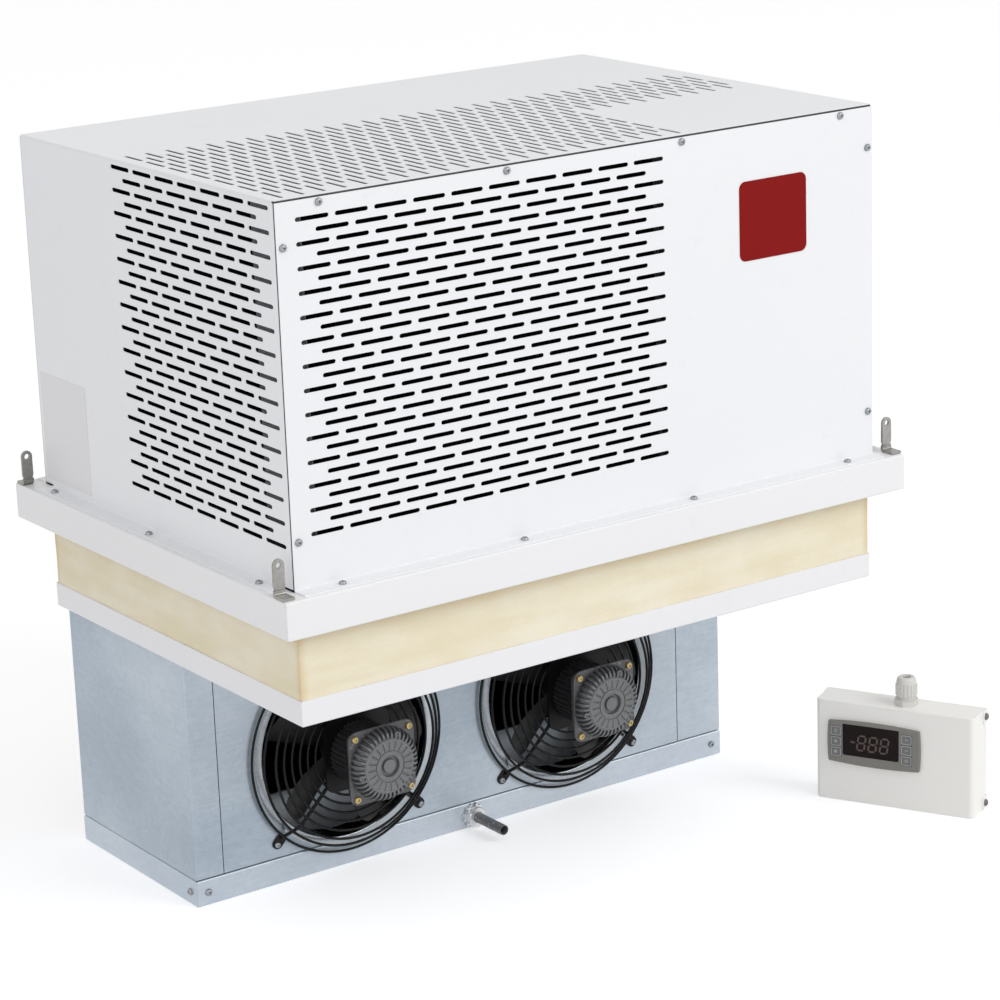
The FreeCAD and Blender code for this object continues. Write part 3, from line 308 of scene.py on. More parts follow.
class Paint:
    """One finish: a Principled shader and the nodes that feed it."""

    def __init__(self, name, **fixed):
        self.material = bpy.data.materials.new(name)
        self.material.use_nodes = True
        self.tree = self.material.node_tree
        self.shader = self.tree.nodes["Principled BSDF"]
        for socket, value in fixed.items():
            self.feed(self.shader.inputs[socket.replace("_", " ")], value)

    def node(self, kind, settings, inputs, output=0):
        node = self.tree.nodes.new("ShaderNode" + kind)
        for key, value in settings.items():
            setattr(node, key, value)
        for key, value in inputs.items():
            self.feed(node.inputs[key], value)
        return Value(self, node.outputs[output])

    def feed(self, socket, value):
        if isinstance(value, Value):
            self.tree.links.new(value.socket, socket)
        else:
            socket.default_value = value

    def place(self, stretch=(1, 1, 1)):
        """Object coordinates, stretched."""
        there = self.node("TexCoord", {}, {}, "Object")
        return self.node("Mapping", {}, {"Vector": there, "Scale": stretch})

    def along(self, axis):
        """One object coordinate: X, Y, or Z, which is the height above the floor."""
        return self.node("SeparateXYZ", {}, {"Vector": self.place()}, axis)

    def noise(self, scale, detail=3.0, stretch=(1, 1, 1)):
        return self.node("TexNoise", {}, {"Vector": self.place(stretch), "Scale": scale, "Detail": detail})

    def cells(self, scale, output="Color", stretch=(1, 1, 1)):
        return self.node("TexVoronoi", {}, {"Vector": self.place(stretch), "Scale": scale}, output)

    def mix(self, share, a, b):
        """The colour a, turned into b by the share."""
        return self.node("Mix", {"data_type": "RGBA"}, {0: share, 6: a, 7: b}, 2)

    def bump(self, relief, depth, strength=1.0):
        normal = self.node("Bump", {}, {"Height": relief, "Distance": depth, "Strength": strength})
        self.feed(self.shader.inputs["Normal"], normal)

    def set(self, **changing):
        for socket, value in changing.items():
            self.feed(self.shader.inputs[socket.replace("_", " ")], value)
        return self


def colour(red, green, blue):
    return red, green, blue, 1.0


def dimmed(shade, share):
    """A share of a colour's light."""
    return colour(*(part * share for part in shade[:3]))


# Near black, painted as shade inside the hood, inside the casing and on the front of the coils' fins
SHADE_BLACK = colour(0.008, 0.008, 0.009)


# Finishes

def inside(paint, low, high):
    """One well inside a box, nought from its faces outwards, with a smooth step over half a millimetre."""
    share = 1.0
    for output, start, end in zip("XYZ", low, high):
        depth = (paint.along(output) - (start + end) / 2).math("ABSOLUTE") * -1 + (end - start) / 2
        share = depth.between(0.0004, 0.0009) * share
    return share


def powder_coat(name, shade, soil=0.03, shade_inside=False, index=1.5):
    """Baked powder paint: fine orange peel, a faint cloudiness and a few handling marks. Where asked, the
    inside of the hood's box is painted shade, near black."""
    paint = Paint(name, Metallic=0.0, IOR=index)
    cloud = paint.noise(3.0, 2.0)
    marks = paint.noise(45.0, 6.0).between(0.62, 0.8)
    cloudy = paint.mix(cloud, shade, dimmed(shade, 1 - soil))
    seen = paint.mix(marks * 0.5, cloudy, dimmed(shade, 1 - 3 * soil))
    # Painted shade: inside the hood's box the colour turns near black
    if shade_inside:
        hollow = inside(paint, (HOOD_LEFT, HOOD_FRONT, 0), (HOOD_RIGHT, HOOD_BACK, HOOD_ROOF))
        seen = paint.mix(hollow, seen, SHADE_BLACK)
    paint.set(Base_Color=seen, Roughness=0.34 + 0.12 * cloud)
    paint.bump(paint.noise(900.0, 2.0), 0.00006, 0.6)
    return paint.material


def galvanised(name, light, dark, roughness=0.42, metallic=0.55):
    """Zinc-dipped sheet: faint crystals of a few millimetres over a fine level grain, with soft blooms."""
    paint = Paint(name, Metallic=metallic)
    crystal = paint.node("SeparateColor", {}, {"Color": paint.cells(170.0)}, 0)
    grain = paint.noise(700.0, 2.0, (0.06, 0.06, 1))
    bloom = paint.noise(3.2, 3.0, (1, 1, 1.6))
    share = crystal * 0.08 + grain * 0.22 + bloom * 0.70
    # Painted shade: inside the evaporator casing's box the colour turns near black
    shaded = inside(paint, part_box("casing_left")[0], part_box("casing_right")[1])
    paint.set(Base_Color=paint.mix(shaded, paint.mix(share.between(0.25, 0.75), dark, light), SHADE_BLACK),
              Roughness=roughness + 0.08 * crystal)
    paint.bump(grain, 0.00002, 0.3)
    return paint.material


def zinc_plated(name, shade=colour(0.62, 0.62, 0.60)):
    """Plated steel with dull patches."""
    paint = Paint(name, Metallic=0.9)
    patch = paint.noise(260.0, 4.0)
    paint.set(Base_Color=paint.mix(patch, shade, dimmed(shade, 0.6)), Roughness=0.28 + 0.2 * patch)
    return paint.material


def foam_finish():
    """Cut rigid foam: cream with fine cells, level saw streaks, and amber along its corners and under the
    pan's edge."""
    paint = Paint("foam", Roughness=0.9)
    low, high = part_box("plug_foam")
    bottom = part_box("plug_lower_pan")[1].z
    rise = (paint.along("Z") - bottom) * (1 / (pan_low.z - bottom))
    cloud = paint.noise(14.0, 6.0)
    streak = paint.noise(60.0, 5.0, (0.15, 0.15, 1))
    stain = (rise + 0.35 * paint.noise(9.0, 4.0)).between(0.85, 1.3)
    corner = 1.0
    for output, start, end in zip("XY", low, high):
        reach = (paint.along(output) - (start + end) / 2).math("ABSOLUTE") + 0.010 * cloud
        corner = reach.between((end - start) / 2 - 0.006, (end - start) / 2 + 0.009) * corner
    cells = paint.noise(700.0, 3.0)
    share = (0.5 * cloud + 0.5 * streak).between(0.32, 0.68)
    cream = paint.mix(share, colour(0.93, 0.88, 0.73), colour(0.85, 0.77, 0.57))
    fleck = paint.mix(cells * 0.3, cream, colour(0.66, 0.54, 0.33))
    amber = (stain * 0.8 + corner * 0.75).math("MINIMUM", 1.0)
    paint.set(Base_Color=paint.mix(amber, fleck, colour(0.68, 0.49, 0.22)))
    paint.bump(cells + 0.5 * paint.noise(120.0, 4.0), 0.0004, 0.5)
    return paint.material


def black_metal(name, shade=0.02, roughness=0.35, metallic=0.2, index=1.5):
    """Black-coated steel with a soft sheen and worn, greyer spots."""
    paint = Paint(name, Metallic=metallic, IOR=index)
    wear = paint.noise(160.0, 5.0)
    paint.set(Base_Color=paint.mix(wear.between(0.55, 0.8), colour(shade, shade, shade * 1.05),
                                   colour(shade * 3, shade * 3, shade * 3)),
              Roughness=roughness + 0.2 * wear)
    paint.bump(paint.noise(1200.0, 2.0), 0.00003, 0.4)
    return paint.material


def motor_finish():
    """Motor casting: black lacquer on the ribs, and a lighter grey on the face that looks to the front."""
    paint = Paint("motor_black", Metallic=0.35)
    forward = paint.along("Y") * -1
    face_level = -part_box("fan_motor_left")[0].y
    front_face = forward.between(face_level - 0.004, face_level - 0.002)
    cast = paint.noise(300.0, 4.0)
    lacquer = paint.mix(cast, colour(0.07, 0.072, 0.075), colour(0.14, 0.143, 0.147))
    face_tone = paint.mix(cast, colour(0.21, 0.215, 0.22), colour(0.13, 0.135, 0.14))
    paint.set(Base_Color=paint.mix(front_face, lacquer, face_tone), Roughness=0.30 + 0.18 * cast)
    paint.bump(paint.noise(900.0, 3.0), 0.00005, 0.5)
    return paint.material


def plastic(name, shade, roughness=0.45, grain=0.00004, index=1.5):
    """Moulded plastic with a fine eroded grain."""
    paint = Paint(name, Metallic=0.0, IOR=index)
    grainy = paint.noise(1500.0, 2.0)
    cloud = paint.noise(30.0, 3.0)
    paint.set(Base_Color=paint.mix(cloud, shade, dimmed(shade, 0.88)), Roughness=roughness + 0.1 * grainy)
    paint.bump(grainy, grain, 0.5)
    return paint.material


def bright_steel():
    """Polished spun sheet with rings of fine turning marks."""
    paint = Paint("bright_steel", Metallic=1.0)
    lines = paint.noise(90.0, 3.0, (1, 0.1, 1))
    paint.set(Base_Color=paint.mix(lines, colour(0.47, 0.50, 0.53), colour(0.30, 0.33, 0.36)),
              Roughness=0.22 + 0.08 * lines)
    return paint.material


def copper_finish():
    """Drawn copper, brighter in places and brown where it was brazed."""
    paint = Paint("copper", Metallic=0.95)
    brown = paint.noise(30.0, 5.0)
    seen = paint.mix(brown.between(0.4, 0.75), colour(0.85, 0.47, 0.30), colour(0.42, 0.20, 0.12))
    paint.set(Base_Color=seen, Roughness=0.25 + 0.25 * brown)
    return paint.material


def fin_finish(name, shade):
    """Thin rolled fins with a faint film of dust. Towards the front they are painted shade, near black."""
    paint = Paint(name, Metallic=0.6)
    dust = paint.noise(40.0, 5.0)
    clean = paint.mix(dust, shade, dimmed(shade, 0.7))
    # Painted shade on the fins' front, fading out between y 0.045 and 0.095
    back = paint.along("Y").between(0.045, 0.095)
    paint.set(Base_Color=paint.mix(back, SHADE_BLACK, clean), Roughness=0.4 + 0.25 * dust)
    return paint.material


# Hood and pan: their faces inside the hood's box get painted shade
hood_paint = powder_coat("hood_paint", colour(0.87, 0.88, 0.90), shade_inside=True)
pan_paint = powder_coat("pan_paint", colour(0.87, 0.87, 0.88), shade_inside=True)
skirt_paint = powder_coat("skirt_paint", colour(0.87, 0.87, 0.89))
badge_red = powder_coat("badge_red", colour(0.24, 0.004, 0.003), index=1.2)
label_white = powder_coat("label_white", colour(0.79, 0.78, 0.80), 0.02)
box_paint = powder_coat("box_paint", colour(0.93, 0.92, 0.89), 0.03)
zinc_sheet = galvanised("zinc_sheet", colour(0.56, 0.62, 0.68), colour(0.34, 0.41, 0.48))
zinc_tray = galvanised("zinc_tray", colour(0.63, 0.68, 0.74), colour(0.45, 0.52, 0.59), 0.38)
# A darker copy of the galvanised sheet for parts inside the hood and casing: painted shade
shaded_sheet = galvanised("shaded_sheet", colour(0.30, 0.32, 0.34), colour(0.20, 0.22, 0.24))
bright_zinc = zinc_plated("bright_zinc", colour(0.92, 0.93, 0.94))
dark_screw = zinc_plated("dark_screw", colour(0.20, 0.19, 0.18))
plated = zinc_plated("plated_screws", colour(0.40, 0.42, 0.44))
plated_lug = zinc_plated("plated_lugs", colour(0.40, 0.39, 0.37))
brass_plated = zinc_plated("brass_plated", colour(0.62, 0.50, 0.22))
foam = foam_finish()
wire_black = black_metal("wire_black", 0.003, 0.26, 0.0, 1.3)
motor_black = motor_finish()
motor_flange = black_metal("motor_flange", 0.10, 0.28)
spout_dark = black_metal("spout_dark", 0.15, 0.35)
shell_black = black_metal("shell_black", 0.02, 0.4)
core_steel = zinc_plated("core_steel", colour(0.30, 0.31, 0.32))
ring_steel = bright_steel()
copper = copper_finish()
coil_fins = fin_finish("coil_fins", colour(0.72, 0.74, 0.77))
# Condenser fins inside the hood: a near-black copy of the fin colour, painted shade
shaded_fins = fin_finish("shaded_fins", colour(0.05, 0.055, 0.06))
blade_black = plastic("blade_black", colour(0.006, 0.006, 0.007), 0.42)
rubber_black = plastic("rubber_black", colour(0.02, 0.02, 0.02), 0.7)
gland_grey = plastic("gland_grey", colour(0.70, 0.69, 0.66), 0.42)
box_grey = plastic("box_grey", colour(0.42, 0.43, 0.44), 0.5)
fascia_grey = plastic("fascia_grey", colour(0.21, 0.20, 0.185), 0.4)
window_dark = plastic("window_dark", colour(0.010, 0.005, 0.005), 0.10, 0.00001, 1.2)
key_grey = plastic("key_grey", colour(0.15, 0.155, 0.155), 0.42)
sign_light = plastic("sign_light", colour(0.72, 0.73, 0.72), 0.5)
digit_brown = plastic("digit_brown", colour(0.075, 0.045, 0.036), 0.3)


# The hood

def turned(past, radius):
    """A sheet that turns through a right angle: how far it goes on, and aside, at a distance past the
    start of the bend. Before the bend it only goes on; after it, it only goes aside."""
    angle = np.clip(past / radius, 0, pi / 2)
    on = radius * np.sin(angle) + np.minimum(past, 0)
    aside = radius * (1 - np.cos(angle)) + np.maximum(past - radius * pi / 2, 0)
    return on, aside


def bend_stations(start, outward, radius, leg):
    """Flat coordinates of a bend that starts at a place and runs outward, and of the leg after it."""
    arc = radius * pi / 2
    past = np.concatenate([np.linspace(0, arc, BEND_STEPS + 1), [arc + leg] if leg else []])
    return np.sort(start + outward * past)


def brick(per_row, rows, band_from=None):
    """Lattice corner of each slot's cell. Every other row is half a pitch along and one slot shorter,
    and the rows of the rear band start further along."""
    return np.array([(CELL * i + CELL // 2 * (row % 2), CELL * row) for row in range(rows)
                     for i in range(REAR_BAND_FIRST if band_from and row >= band_from else 0,
                                    per_row - row % 2)])


def field(start, count, pitch):
    """Lattice stations of a slot field."""
    return start + np.arange(count + 1) * pitch / CELL


def slotted(us, vs, place, cells, drop=None, flip=False):
    """A sheet on a lattice of flat coordinates, bent by place(u, v). In a slot's cell the sixteen quads
    run from the cell's rim to a round-ended slot: a corner of the rim goes to the start of an end's
    half circle, and points between corners go straight across."""
    columns, rows = len(us), len(vs)
    u, v = np.meshgrid(us, vs)
    index = np.arange(rows * columns).reshape(rows, columns)
    keep = np.ones((rows - 1, columns - 1), bool)
    frames, extra = [], np.zeros((0, 3))
    if len(cells):
        step = np.arange(CELL)
        keep[cells[:, 1, None, None] + step[None, :, None], cells[:, 0, None, None] + step] = False
        a = np.array([0, 1, 2, 3, 4, 4, 4, 4, 4, 3, 2, 1, 0, 0, 0, 0])
        b = np.array([0, 0, 0, 0, 0, 1, 2, 3, 4, 4, 4, 4, 4, 3, 2, 1])
        rim = index[cells[:, 1, None] + b, cells[:, 0, None] + a]
        half, straight = SLOT_WIDTH / 2, (SLOT_LENGTH - SLOT_WIDTH) / 2
        angle = (b - CELL / 2) * pi / CELL
        inner_column = (a > 0) & (a < CELL)
        du = np.where(inner_column, (a - CELL / 2) * SLOT_PITCH / CELL,
                      np.sign(a - CELL / 2) * (straight + half * np.cos(angle)))
        dv = half * np.sin(angle)
        centre_u, centre_v = us[cells[:, 0] + CELL // 2], vs[cells[:, 1] + CELL // 2]
        extra = place(centre_u[:, None] + du, centre_v[:, None] + dv).reshape(-1, 3)
        inner = rows * columns + np.arange(len(extra)).reshape(-1, len(a))
        ring = np.stack([rim, np.roll(rim, -1, 1), np.roll(inner, -1, 1), inner], -1)
        frames.append(ring.reshape(-1, 4))
    if drop is not None:
        middle_u, middle_v = np.meshgrid((us[1:] + us[:-1]) / 2, (vs[1:] + vs[:-1]) / 2)
        keep &= ~drop(middle_u, middle_v)
    quads = np.stack([index[:-1, :-1], index[:-1, 1:], index[1:, 1:], index[1:, :-1]], -1)[keep]
    points = np.concatenate([place(u, v).reshape(-1, 3), extra])
    return points, [group[:, ::-1] if flip else group for group in [quads] + frames]


INNER_BEND = 0.001
JOINT = 0.0003  # a closed joint between two sheets
HOOD_GAP = 0.001  # the front and back sheets end short of the hood's sides
foot_level = PAN_TOP + SHEET
foot_bend = foot_level + INNER_BEND
foot_stations = bend_stations(foot_bend, -1, INNER_BEND, FOOT - INNER_BEND)
side_top = HOOD_ROOF - BEND - JOINT / 3
front_top = HOOD_ROOF - BEND - JOINT


def foot(v):
    """Height of an upright sheet and how far its foot has turned out, at a flat coordinate."""
    on, aside = turned(foot_bend - v, INNER_BEND)
    return foot_bend - on, aside


def front_panel():
    """Front sheet on its outside face, with the foot turned out on the pan."""
    left, right = HOOD_LEFT + HOOD_GAP, HOOD_RIGHT - HOOD_GAP
    start_u = HOOD_LEFT + FRONT_GRILLE_X - (SLOT_PITCH - SLOT_LENGTH) / 2
    start_v = PAN_TOP + FRONT_GRILLE_Z - ROW_PITCH / 2
    us = np.concatenate([[left], field(start_u, FRONT_SLOTS * CELL, SLOT_PITCH), [right]])
    vs = np.concatenate([foot_stations, field(start_v, FRONT_ROWS * CELL, ROW_PITCH), [front_top]])

    def place(u, v):
        z, aside = foot(v)
        return np.stack([u, HOOD_FRONT - aside, z], -1)

    cells = brick(FRONT_SLOTS, FRONT_ROWS) + (1, len(foot_stations))
    return slotted(us, vs, place, cells)


def side_panel(edge, inward, slots):
    """Side sheet on its outside face, with folds behind the front and back sheets and a foot."""
    near, far = HOOD_FRONT + SHEET, HOOD_BACK - SHEET
    start_u = HOOD_FRONT + SIDE_GRILLE_Y - (SLOT_PITCH - SLOT_LENGTH) / 2
    start_v = PAN_TOP + SIDE_GRILLE_Z - ROW_PITCH / 2
    front_fold = bend_stations(near + BEND, -1, BEND, FLANGE - BEND)
    back_fold = bend_stations(far - BEND, 1, BEND, FLANGE - BEND)
    relief = start_u + 1.5 * SLOT_PITCH / CELL
    us = np.concatenate([front_fold, field(start_u, SIDE_SLOTS * CELL, SLOT_PITCH), [far - FOOT], back_fold])
    vs = np.concatenate([foot_stations, field(start_v, SIDE_ROWS * CELL, ROW_PITCH)])
    vs[-1] = side_top

    def place(u, v):
        z, out = foot(v)
        on_front, in_front = turned(near + BEND - u, BEND)
        on_back, in_back = turned(u - far + BEND, BEND)
        y = np.where(u < (near + far) / 2, near + BEND - on_front, far - BEND + on_back)
        return np.stack([edge + inward * (in_front + in_back - out), y, z], -1)

    def corner_relief(u, v):
        return (v < foot_bend) & ((u < relief) | (u > far - FOOT))

    cells = brick(SIDE_SLOTS, SIDE_ROWS) + (len(front_fold), len(foot_stations)) if slots else ()
    return slotted(us, vs, place, cells, corner_relief, flip=inward > 0)


def back_panel():
    """Plain back sheet with its foot."""
    left, right = HOOD_LEFT + HOOD_GAP, HOOD_RIGHT - HOOD_GAP
    vs = np.concatenate([foot_stations, [(foot_bend + front_top) / 2, front_top]])

    def place(u, v):
        z, aside = foot(v)
        return np.stack([u, HOOD_BACK + aside, z], -1)

    return slotted(np.linspace(left, right, 5), vs, place, (), flip=True)


def top_panel():
    """Top sheet, curled down at its sides and folded down behind the front and back sheets."""
    near, far = HOOD_FRONT + SHEET + JOINT, HOOD_BACK - SHEET - JOINT
    start_u = HOOD_FRONT + TOP_GRILLE_Y - (SLOT_PITCH - SLOT_LENGTH) / 2
    start_v = HOOD_LEFT + TOP_GRILLE_X - ROW_PITCH / 2
    front_fold = bend_stations(near + BEND, -1, BEND, FLANGE - BEND)
    back_fold = bend_stations(far - BEND, 1, BEND, FLANGE - BEND)
    left_curl = bend_stations(HOOD_LEFT + BEND, -1, BEND, 0)
    right_curl = bend_stations(HOOD_RIGHT - BEND, 1, BEND, 0)
    rows = TOP_ROWS + REAR_BAND_ROWS
    us = np.concatenate([front_fold, field(start_u, SIDE_SLOTS * CELL, SLOT_PITCH), back_fold])
    vs = np.concatenate([left_curl, field(start_v, rows * CELL, ROW_PITCH), right_curl])

    def bent(flat, low, high):
        on_low, down_low = turned(low + BEND - flat, BEND)
        on_high, down_high = turned(flat - high + BEND, BEND)
        middle = (low + high) / 2
        return np.where(flat < middle, low + BEND - on_low, high - BEND + on_high), down_low + down_high

    def place(u, v):
        y, down_u = bent(u, near, far)
        x, down_v = bent(v, HOOD_LEFT, HOOD_RIGHT)
        return np.stack([x, y, HOOD_ROOF - down_u - down_v], -1)

    def open_corner(u, v):
        return ((u < near + BEND) | (u > far - BEND)) & ((v < HOOD_LEFT + BEND) | (v > HOOD_RIGHT - BEND))

    cells = brick(SIDE_SLOTS, rows, TOP_ROWS) + (len(front_fold), len(left_curl))
    return slotted(us, vs, place, cells, open_corner, flip=True)


for name, form in (("front", front_panel()), ("left", side_panel(HOOD_LEFT, 1, True)),
                   ("right", side_panel(HOOD_RIGHT, -1, False)), ("back", back_panel()),
                   ("top", top_panel())):
    piece(name + "_panel", form, hood_paint, stands_for="hood_" + name + "_panel",
          wall=SHEET)


# Pan, plug and lower pan

SEAM = 0.00035  # half the open seam at a folded corner


def folded_tray(node, deep, lip=0.0, upside_down=False):
    """A tray on its outside face: a flat middle, sides with open corner seams, and a rim turned in by the
    lip. The folded edge reaches deep into the middle, and upside down the middle is on top."""
    low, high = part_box(node)
    floor, rim = (high.z, low.z) if upside_down else (low.z, high.z)
    path = rounded_path([(-deep, floor), (0, floor), (0, rim)] + [(-lip, rim)] * bool(lip), BEND)
    apart = np.where(np.abs(path[:, 1] - floor) > BEND * 0.9, SEAM, 0.0)
    if upside_down:
        path, apart = path[::-1], apart[::-1]
    x0, y0, x1, y1 = low.x + deep, low.y + deep, high.x - deep, high.y - deep
    middle = polygon([(x0, y0, floor), (x1, y0, floor), (x1, y1, floor), (x0, y1, floor)], not upside_down)
    return joined(carried(path, low, high, apart), middle)


FOAM_HIDDEN, FOAM_END = 0.020, 0.02  # how much the lower pan hides, and how far the hidden ends turn in
FOAM_WAVE = 0.0002


def foam_form():
    """Foam plug with slightly uneven cut sides: a sum of slow waves moves each point in or out."""
    low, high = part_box("plug_foam")
    base = low.z + FOAM_HIDDEN
    levels = np.linspace(base, pan_low.z + SHEET, 12)
    out_by = np.pad(np.zeros(len(levels)), 1, constant_values=-FOAM_END)
    points, faces = carried(np.stack([out_by, np.pad(levels, 1, "edge")], 1), low, high, columns=60)
    x, y, z = points.T
    wave = np.sin(41 * x + 23 * z) + np.sin(67 * y - 51 * z) + np.sin(29 * (x + y) + 90 * z)
    middle = (np.array(low) + np.array(high)) / 2
    out = points - middle
    out[:, 2] = 0
    out /= np.linalg.norm(out, axis=1)[:, None]
    return points - out * FOAM_WAVE * np.abs(wave)[:, None], faces


piece("pan", folded_tray("base_pan", 0.25, 0.025, True), pan_paint,
      stands_for="base_pan", wall=SHEET)
piece("lower_pan", folded_tray("plug_lower_pan", 0.2), skirt_paint,
      stands_for="plug_lower_pan", wall=SHEET)
piece("foam_plug", foam_form(), foam, stands_for="plug_foam", sharp=60)


# The evaporator casing

casing_low, casing_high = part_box("casing_left")[0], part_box("casing_right")[1]
CASING_LEFT, CASING_FRONT = casing_low.x, casing_low.y
CASING_RIGHT, CASING_BACK = casing_high.x, casing_high.y
panel_low, panel_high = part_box("fan_panel")
ring_low, ring_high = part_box("fan_rings")
THROAT_WALL = 0.0015
THROAT = (ring_high.z - ring_low.z) / 2 - THROAT_WALL
ROUND = 96  # points round a large circle
SPIN_AXIS = (0, 1, 0)
OUTWARD = (0, -1, 0)  # out of the fans and the front


def axis_of(node):
    """Middle of a node across the y axis: its x and its z."""
    low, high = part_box(node)
    return (low.x + high.x) / 2, (low.z + high.z) / 2


fan_axes = {side: axis_of("fan_motor_" + side) for side in ("left", "right")}


def casing_side(side, strip_end, fold_end):
    """Casing side on its outside face: a fold at the back, the side, and a strip at the front."""
    low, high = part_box("casing_left")
    plan = rounded_path([(fold_end, CASING_BACK), (side, CASING_BACK), (side, CASING_FRONT),
                         (strip_end, CASING_FRONT)], BEND)
    return upright(plan if side < 0 else plan[::-1], [low.z, high.z])


COLLAR, COLLAR_GAP = 0.005, 0.0002  # the depth of a hole's collar, and its play round the air ring


def fan_panel_form():
    """Fan panel: each hole's rim is drawn in to a short collar, and the top edge is folded back."""
    middle, hole = (panel_low.x + panel_high.x) / 2, THROAT + THROAT_WALL + COLLAR_GAP
    spans = ((panel_low.x, middle), (middle, panel_high.x))
    angle = np.linspace(pi / 2, 0, BEND_STEPS + 1)
    collar = [(0.0, COLLAR)] + [(BEND * (1 - sin(a)), BEND * (1 - cos(a))) for a in angle]
    cells = []
    for axis, (left, right) in zip(fan_axes.values(), spans):
        flat = rim_to_box(np.array(axis), hole + BEND, (left, panel_low.z), (right, panel_high.z), 24, 4)
        spoke = (flat[0] - axis) / (hole + BEND)
        rims = np.array([np.array(axis) + spoke * (hole + past) for past, _ in collar])
        rows = np.concatenate([rims, flat[1:]])
        depth = np.array([in_by for _, in_by in collar] + [0.0] * (len(flat) - 1))
        y = CASING_FRONT + np.repeat(depth[:, None], rows.shape[1], 1)
        cells.append(grid(np.stack([rows[..., 0], y, rows[..., 1]], -1), wrap_columns=True, flip=True))
    fold = [[(x, y, panel_high.z) for x in (panel_low.x, middle, panel_high.x)]
            for y in (CASING_FRONT, CASING_FRONT + FLANGE)]
    return joined(*cells, grid(fold))


RING_FLANGE, FLANGE_PROUD, FLANGE_SOFT, RING_ROLL = 0.1165, 0.0007, 0.0003, 0.002


def ring_form(axis):
    """Air ring: a round wall with a rolled front lip, and a flat flange out on the panel."""
    length, outside = ring_high.y - ring_low.y, THROAT + THROAT_WALL
    roll = [(THROAT + RING_ROLL * (1 - sin(a)), RING_ROLL * (1 - cos(a)) - FLANGE_PROUD)
            for a in np.linspace(pi / 2, 0, 6)]
    inner = [(THROAT, length)] + roll
    outer = [(RING_FLANGE - FLANGE_SOFT, -FLANGE_PROUD), (RING_FLANGE, 0.0), (outside, 0.0),
             (outside, length)]
    return revolved(inner + outer, (axis[0], ring_low.y, axis[1]), SPIN_AXIS, ROUND, closed=True)


LEFT_STRIP, RIGHT_STRIP = 0.034, -0.064  # how far the sides' front strips reach in, along x
for name, side, strip in (("casing_left", CASING_LEFT, LEFT_STRIP),
                          ("casing_right", CASING_RIGHT, RIGHT_STRIP)):
    inward = np.sign(strip)
    piece(name + "_sheet", casing_side(side, side + strip, side + inward * FLANGE), zinc_sheet,
          stands_for=name, wall=SHEET)
piece("fan_sheet", fan_panel_form(), zinc_sheet, stands_for="fan_panel", wall=SHEET)
piece("air_rings", joined(*(ring_form(axis) for axis in fan_axes.values())), ring_steel,
      stands_for="fan_rings")


# Guards: round wires on four bent arms

GUARD_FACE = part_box("fan_guard_left")[0].y
WIRE, ARM = 0.0015, 0.002  # radii
GUARD_FIRST, GUARD_PITCH, GUARD_RINGS, GUARD_FLAT = 0.052, 0.010, 8, 0.103
ARM_START, ARM_FOOT, ARM_END, ARM_BEND = 0.030, 0.1225, 0.1265, 0.003
EYELET_SPAN, EYELET_WIDTH, EYELET_REACH = 0.018, 0.0125, 0.138


def guard_level(radius):
    """Front of a guard ring: level over the middle, then sloping back to the panel."""
    last = GUARD_FIRST + GUARD_PITCH * (GUARD_RINGS - 1)
    slope = max(0.0, radius - GUARD_FLAT) / (last - GUARD_FLAT)
    return GUARD_FACE + slope * (CASING_FRONT - GUARD_FACE - 4 * WIRE)


def circle(middle, radius, count=ROUND):
    """Points of a circle square to the y axis."""
    angle = np.arange(count) * 2 * pi / count
    points = np.zeros((count, 3)) + middle
    points[:, 0] += radius * np.cos(angle)
    points[:, 2] += radius * np.sin(angle)
    return points


def guard_arm(axis, angle):
    """An arm under the rings, its foot bent out flat on the panel as an eyelet for the screw."""
    way, side = np.array([cos(angle), 0, sin(angle)]), np.array([-sin(angle), 0, cos(angle)])
    high, low = GUARD_FACE + 2 * WIRE + ARM, CASING_FRONT - ARM
    line = rounded_path([(ARM_START, high), (GUARD_FLAT, high), (ARM_FOOT, low), (ARM_END, low)], ARM_BEND)
    start = np.array([axis[0], 0, axis[1]])
    path = start + line[:, :1] * way + line[:, 1:] * np.array(SPIN_AXIS, float)
    eyelet = prism(round_corners(EYELET_SPAN, EYELET_WIDTH, EYELET_WIDTH / 2 - 1e-5),
                   start + way * (EYELET_REACH - EYELET_SPAN / 2) + (0, CASING_FRONT - SHEET, 0),
                   (0, SHEET, 0), way, side)
    return joined(tube(path, ARM, side), eyelet)


def guard_form(axis):
    rings = []
    for i in range(GUARD_RINGS):
        radius = GUARD_FIRST + GUARD_PITCH * i
        middle = (axis[0], guard_level(radius) + WIRE, axis[1])
        rings.append(tube(circle(middle, radius), WIRE, SPIN_AXIS, closed=True))
    arms = [guard_arm(axis, pi / 4 + pi / 2 * i) for i in range(4)]
    return joined(*rings, *arms)


# Motors: core stack, flange with its four screws, ribbed bell and grooved face

# Distances forward from the guard's face: mounting plate, rear housing, core, flange, bell, face
MOTOR_PLATE, PLATE_END, HOUSING, HOUSING_END = 0.084, 0.003, 0.036, 0.034
CORE, CORE_END, CORE_LAYERS = 0.066, 0.049, 12
CORE_CORNER, CORE_STEP = 0.006, 0.012
MOTOR_FLANGE, FLANGE_END, FLANGE_CORNER = 0.084, 0.052, 0.011
FLANGE_SCREW_INSET, FLANGE_SCREW = 0.0075, (0.0038, 0.0030, 0.0012)
BELL, RIBS, RIB_DEPTH, HOUSING_RIB_DEPTH = 0.0415, 40, 0.0030, 0.0015
BOSS_REACH, BOSS_BACK, BOSS_TURNS, BOSS = 0.0355, 0.009, (70, 190, 310), (0.0034, 0.0045, 0.001)
FACE, FACE_END, GROOVES, GROOVE_DEPTH = 0.031, 0.067, 20, 0.0011
GROOVES_FROM, GROOVES_TO = 0.0193, 0.0280
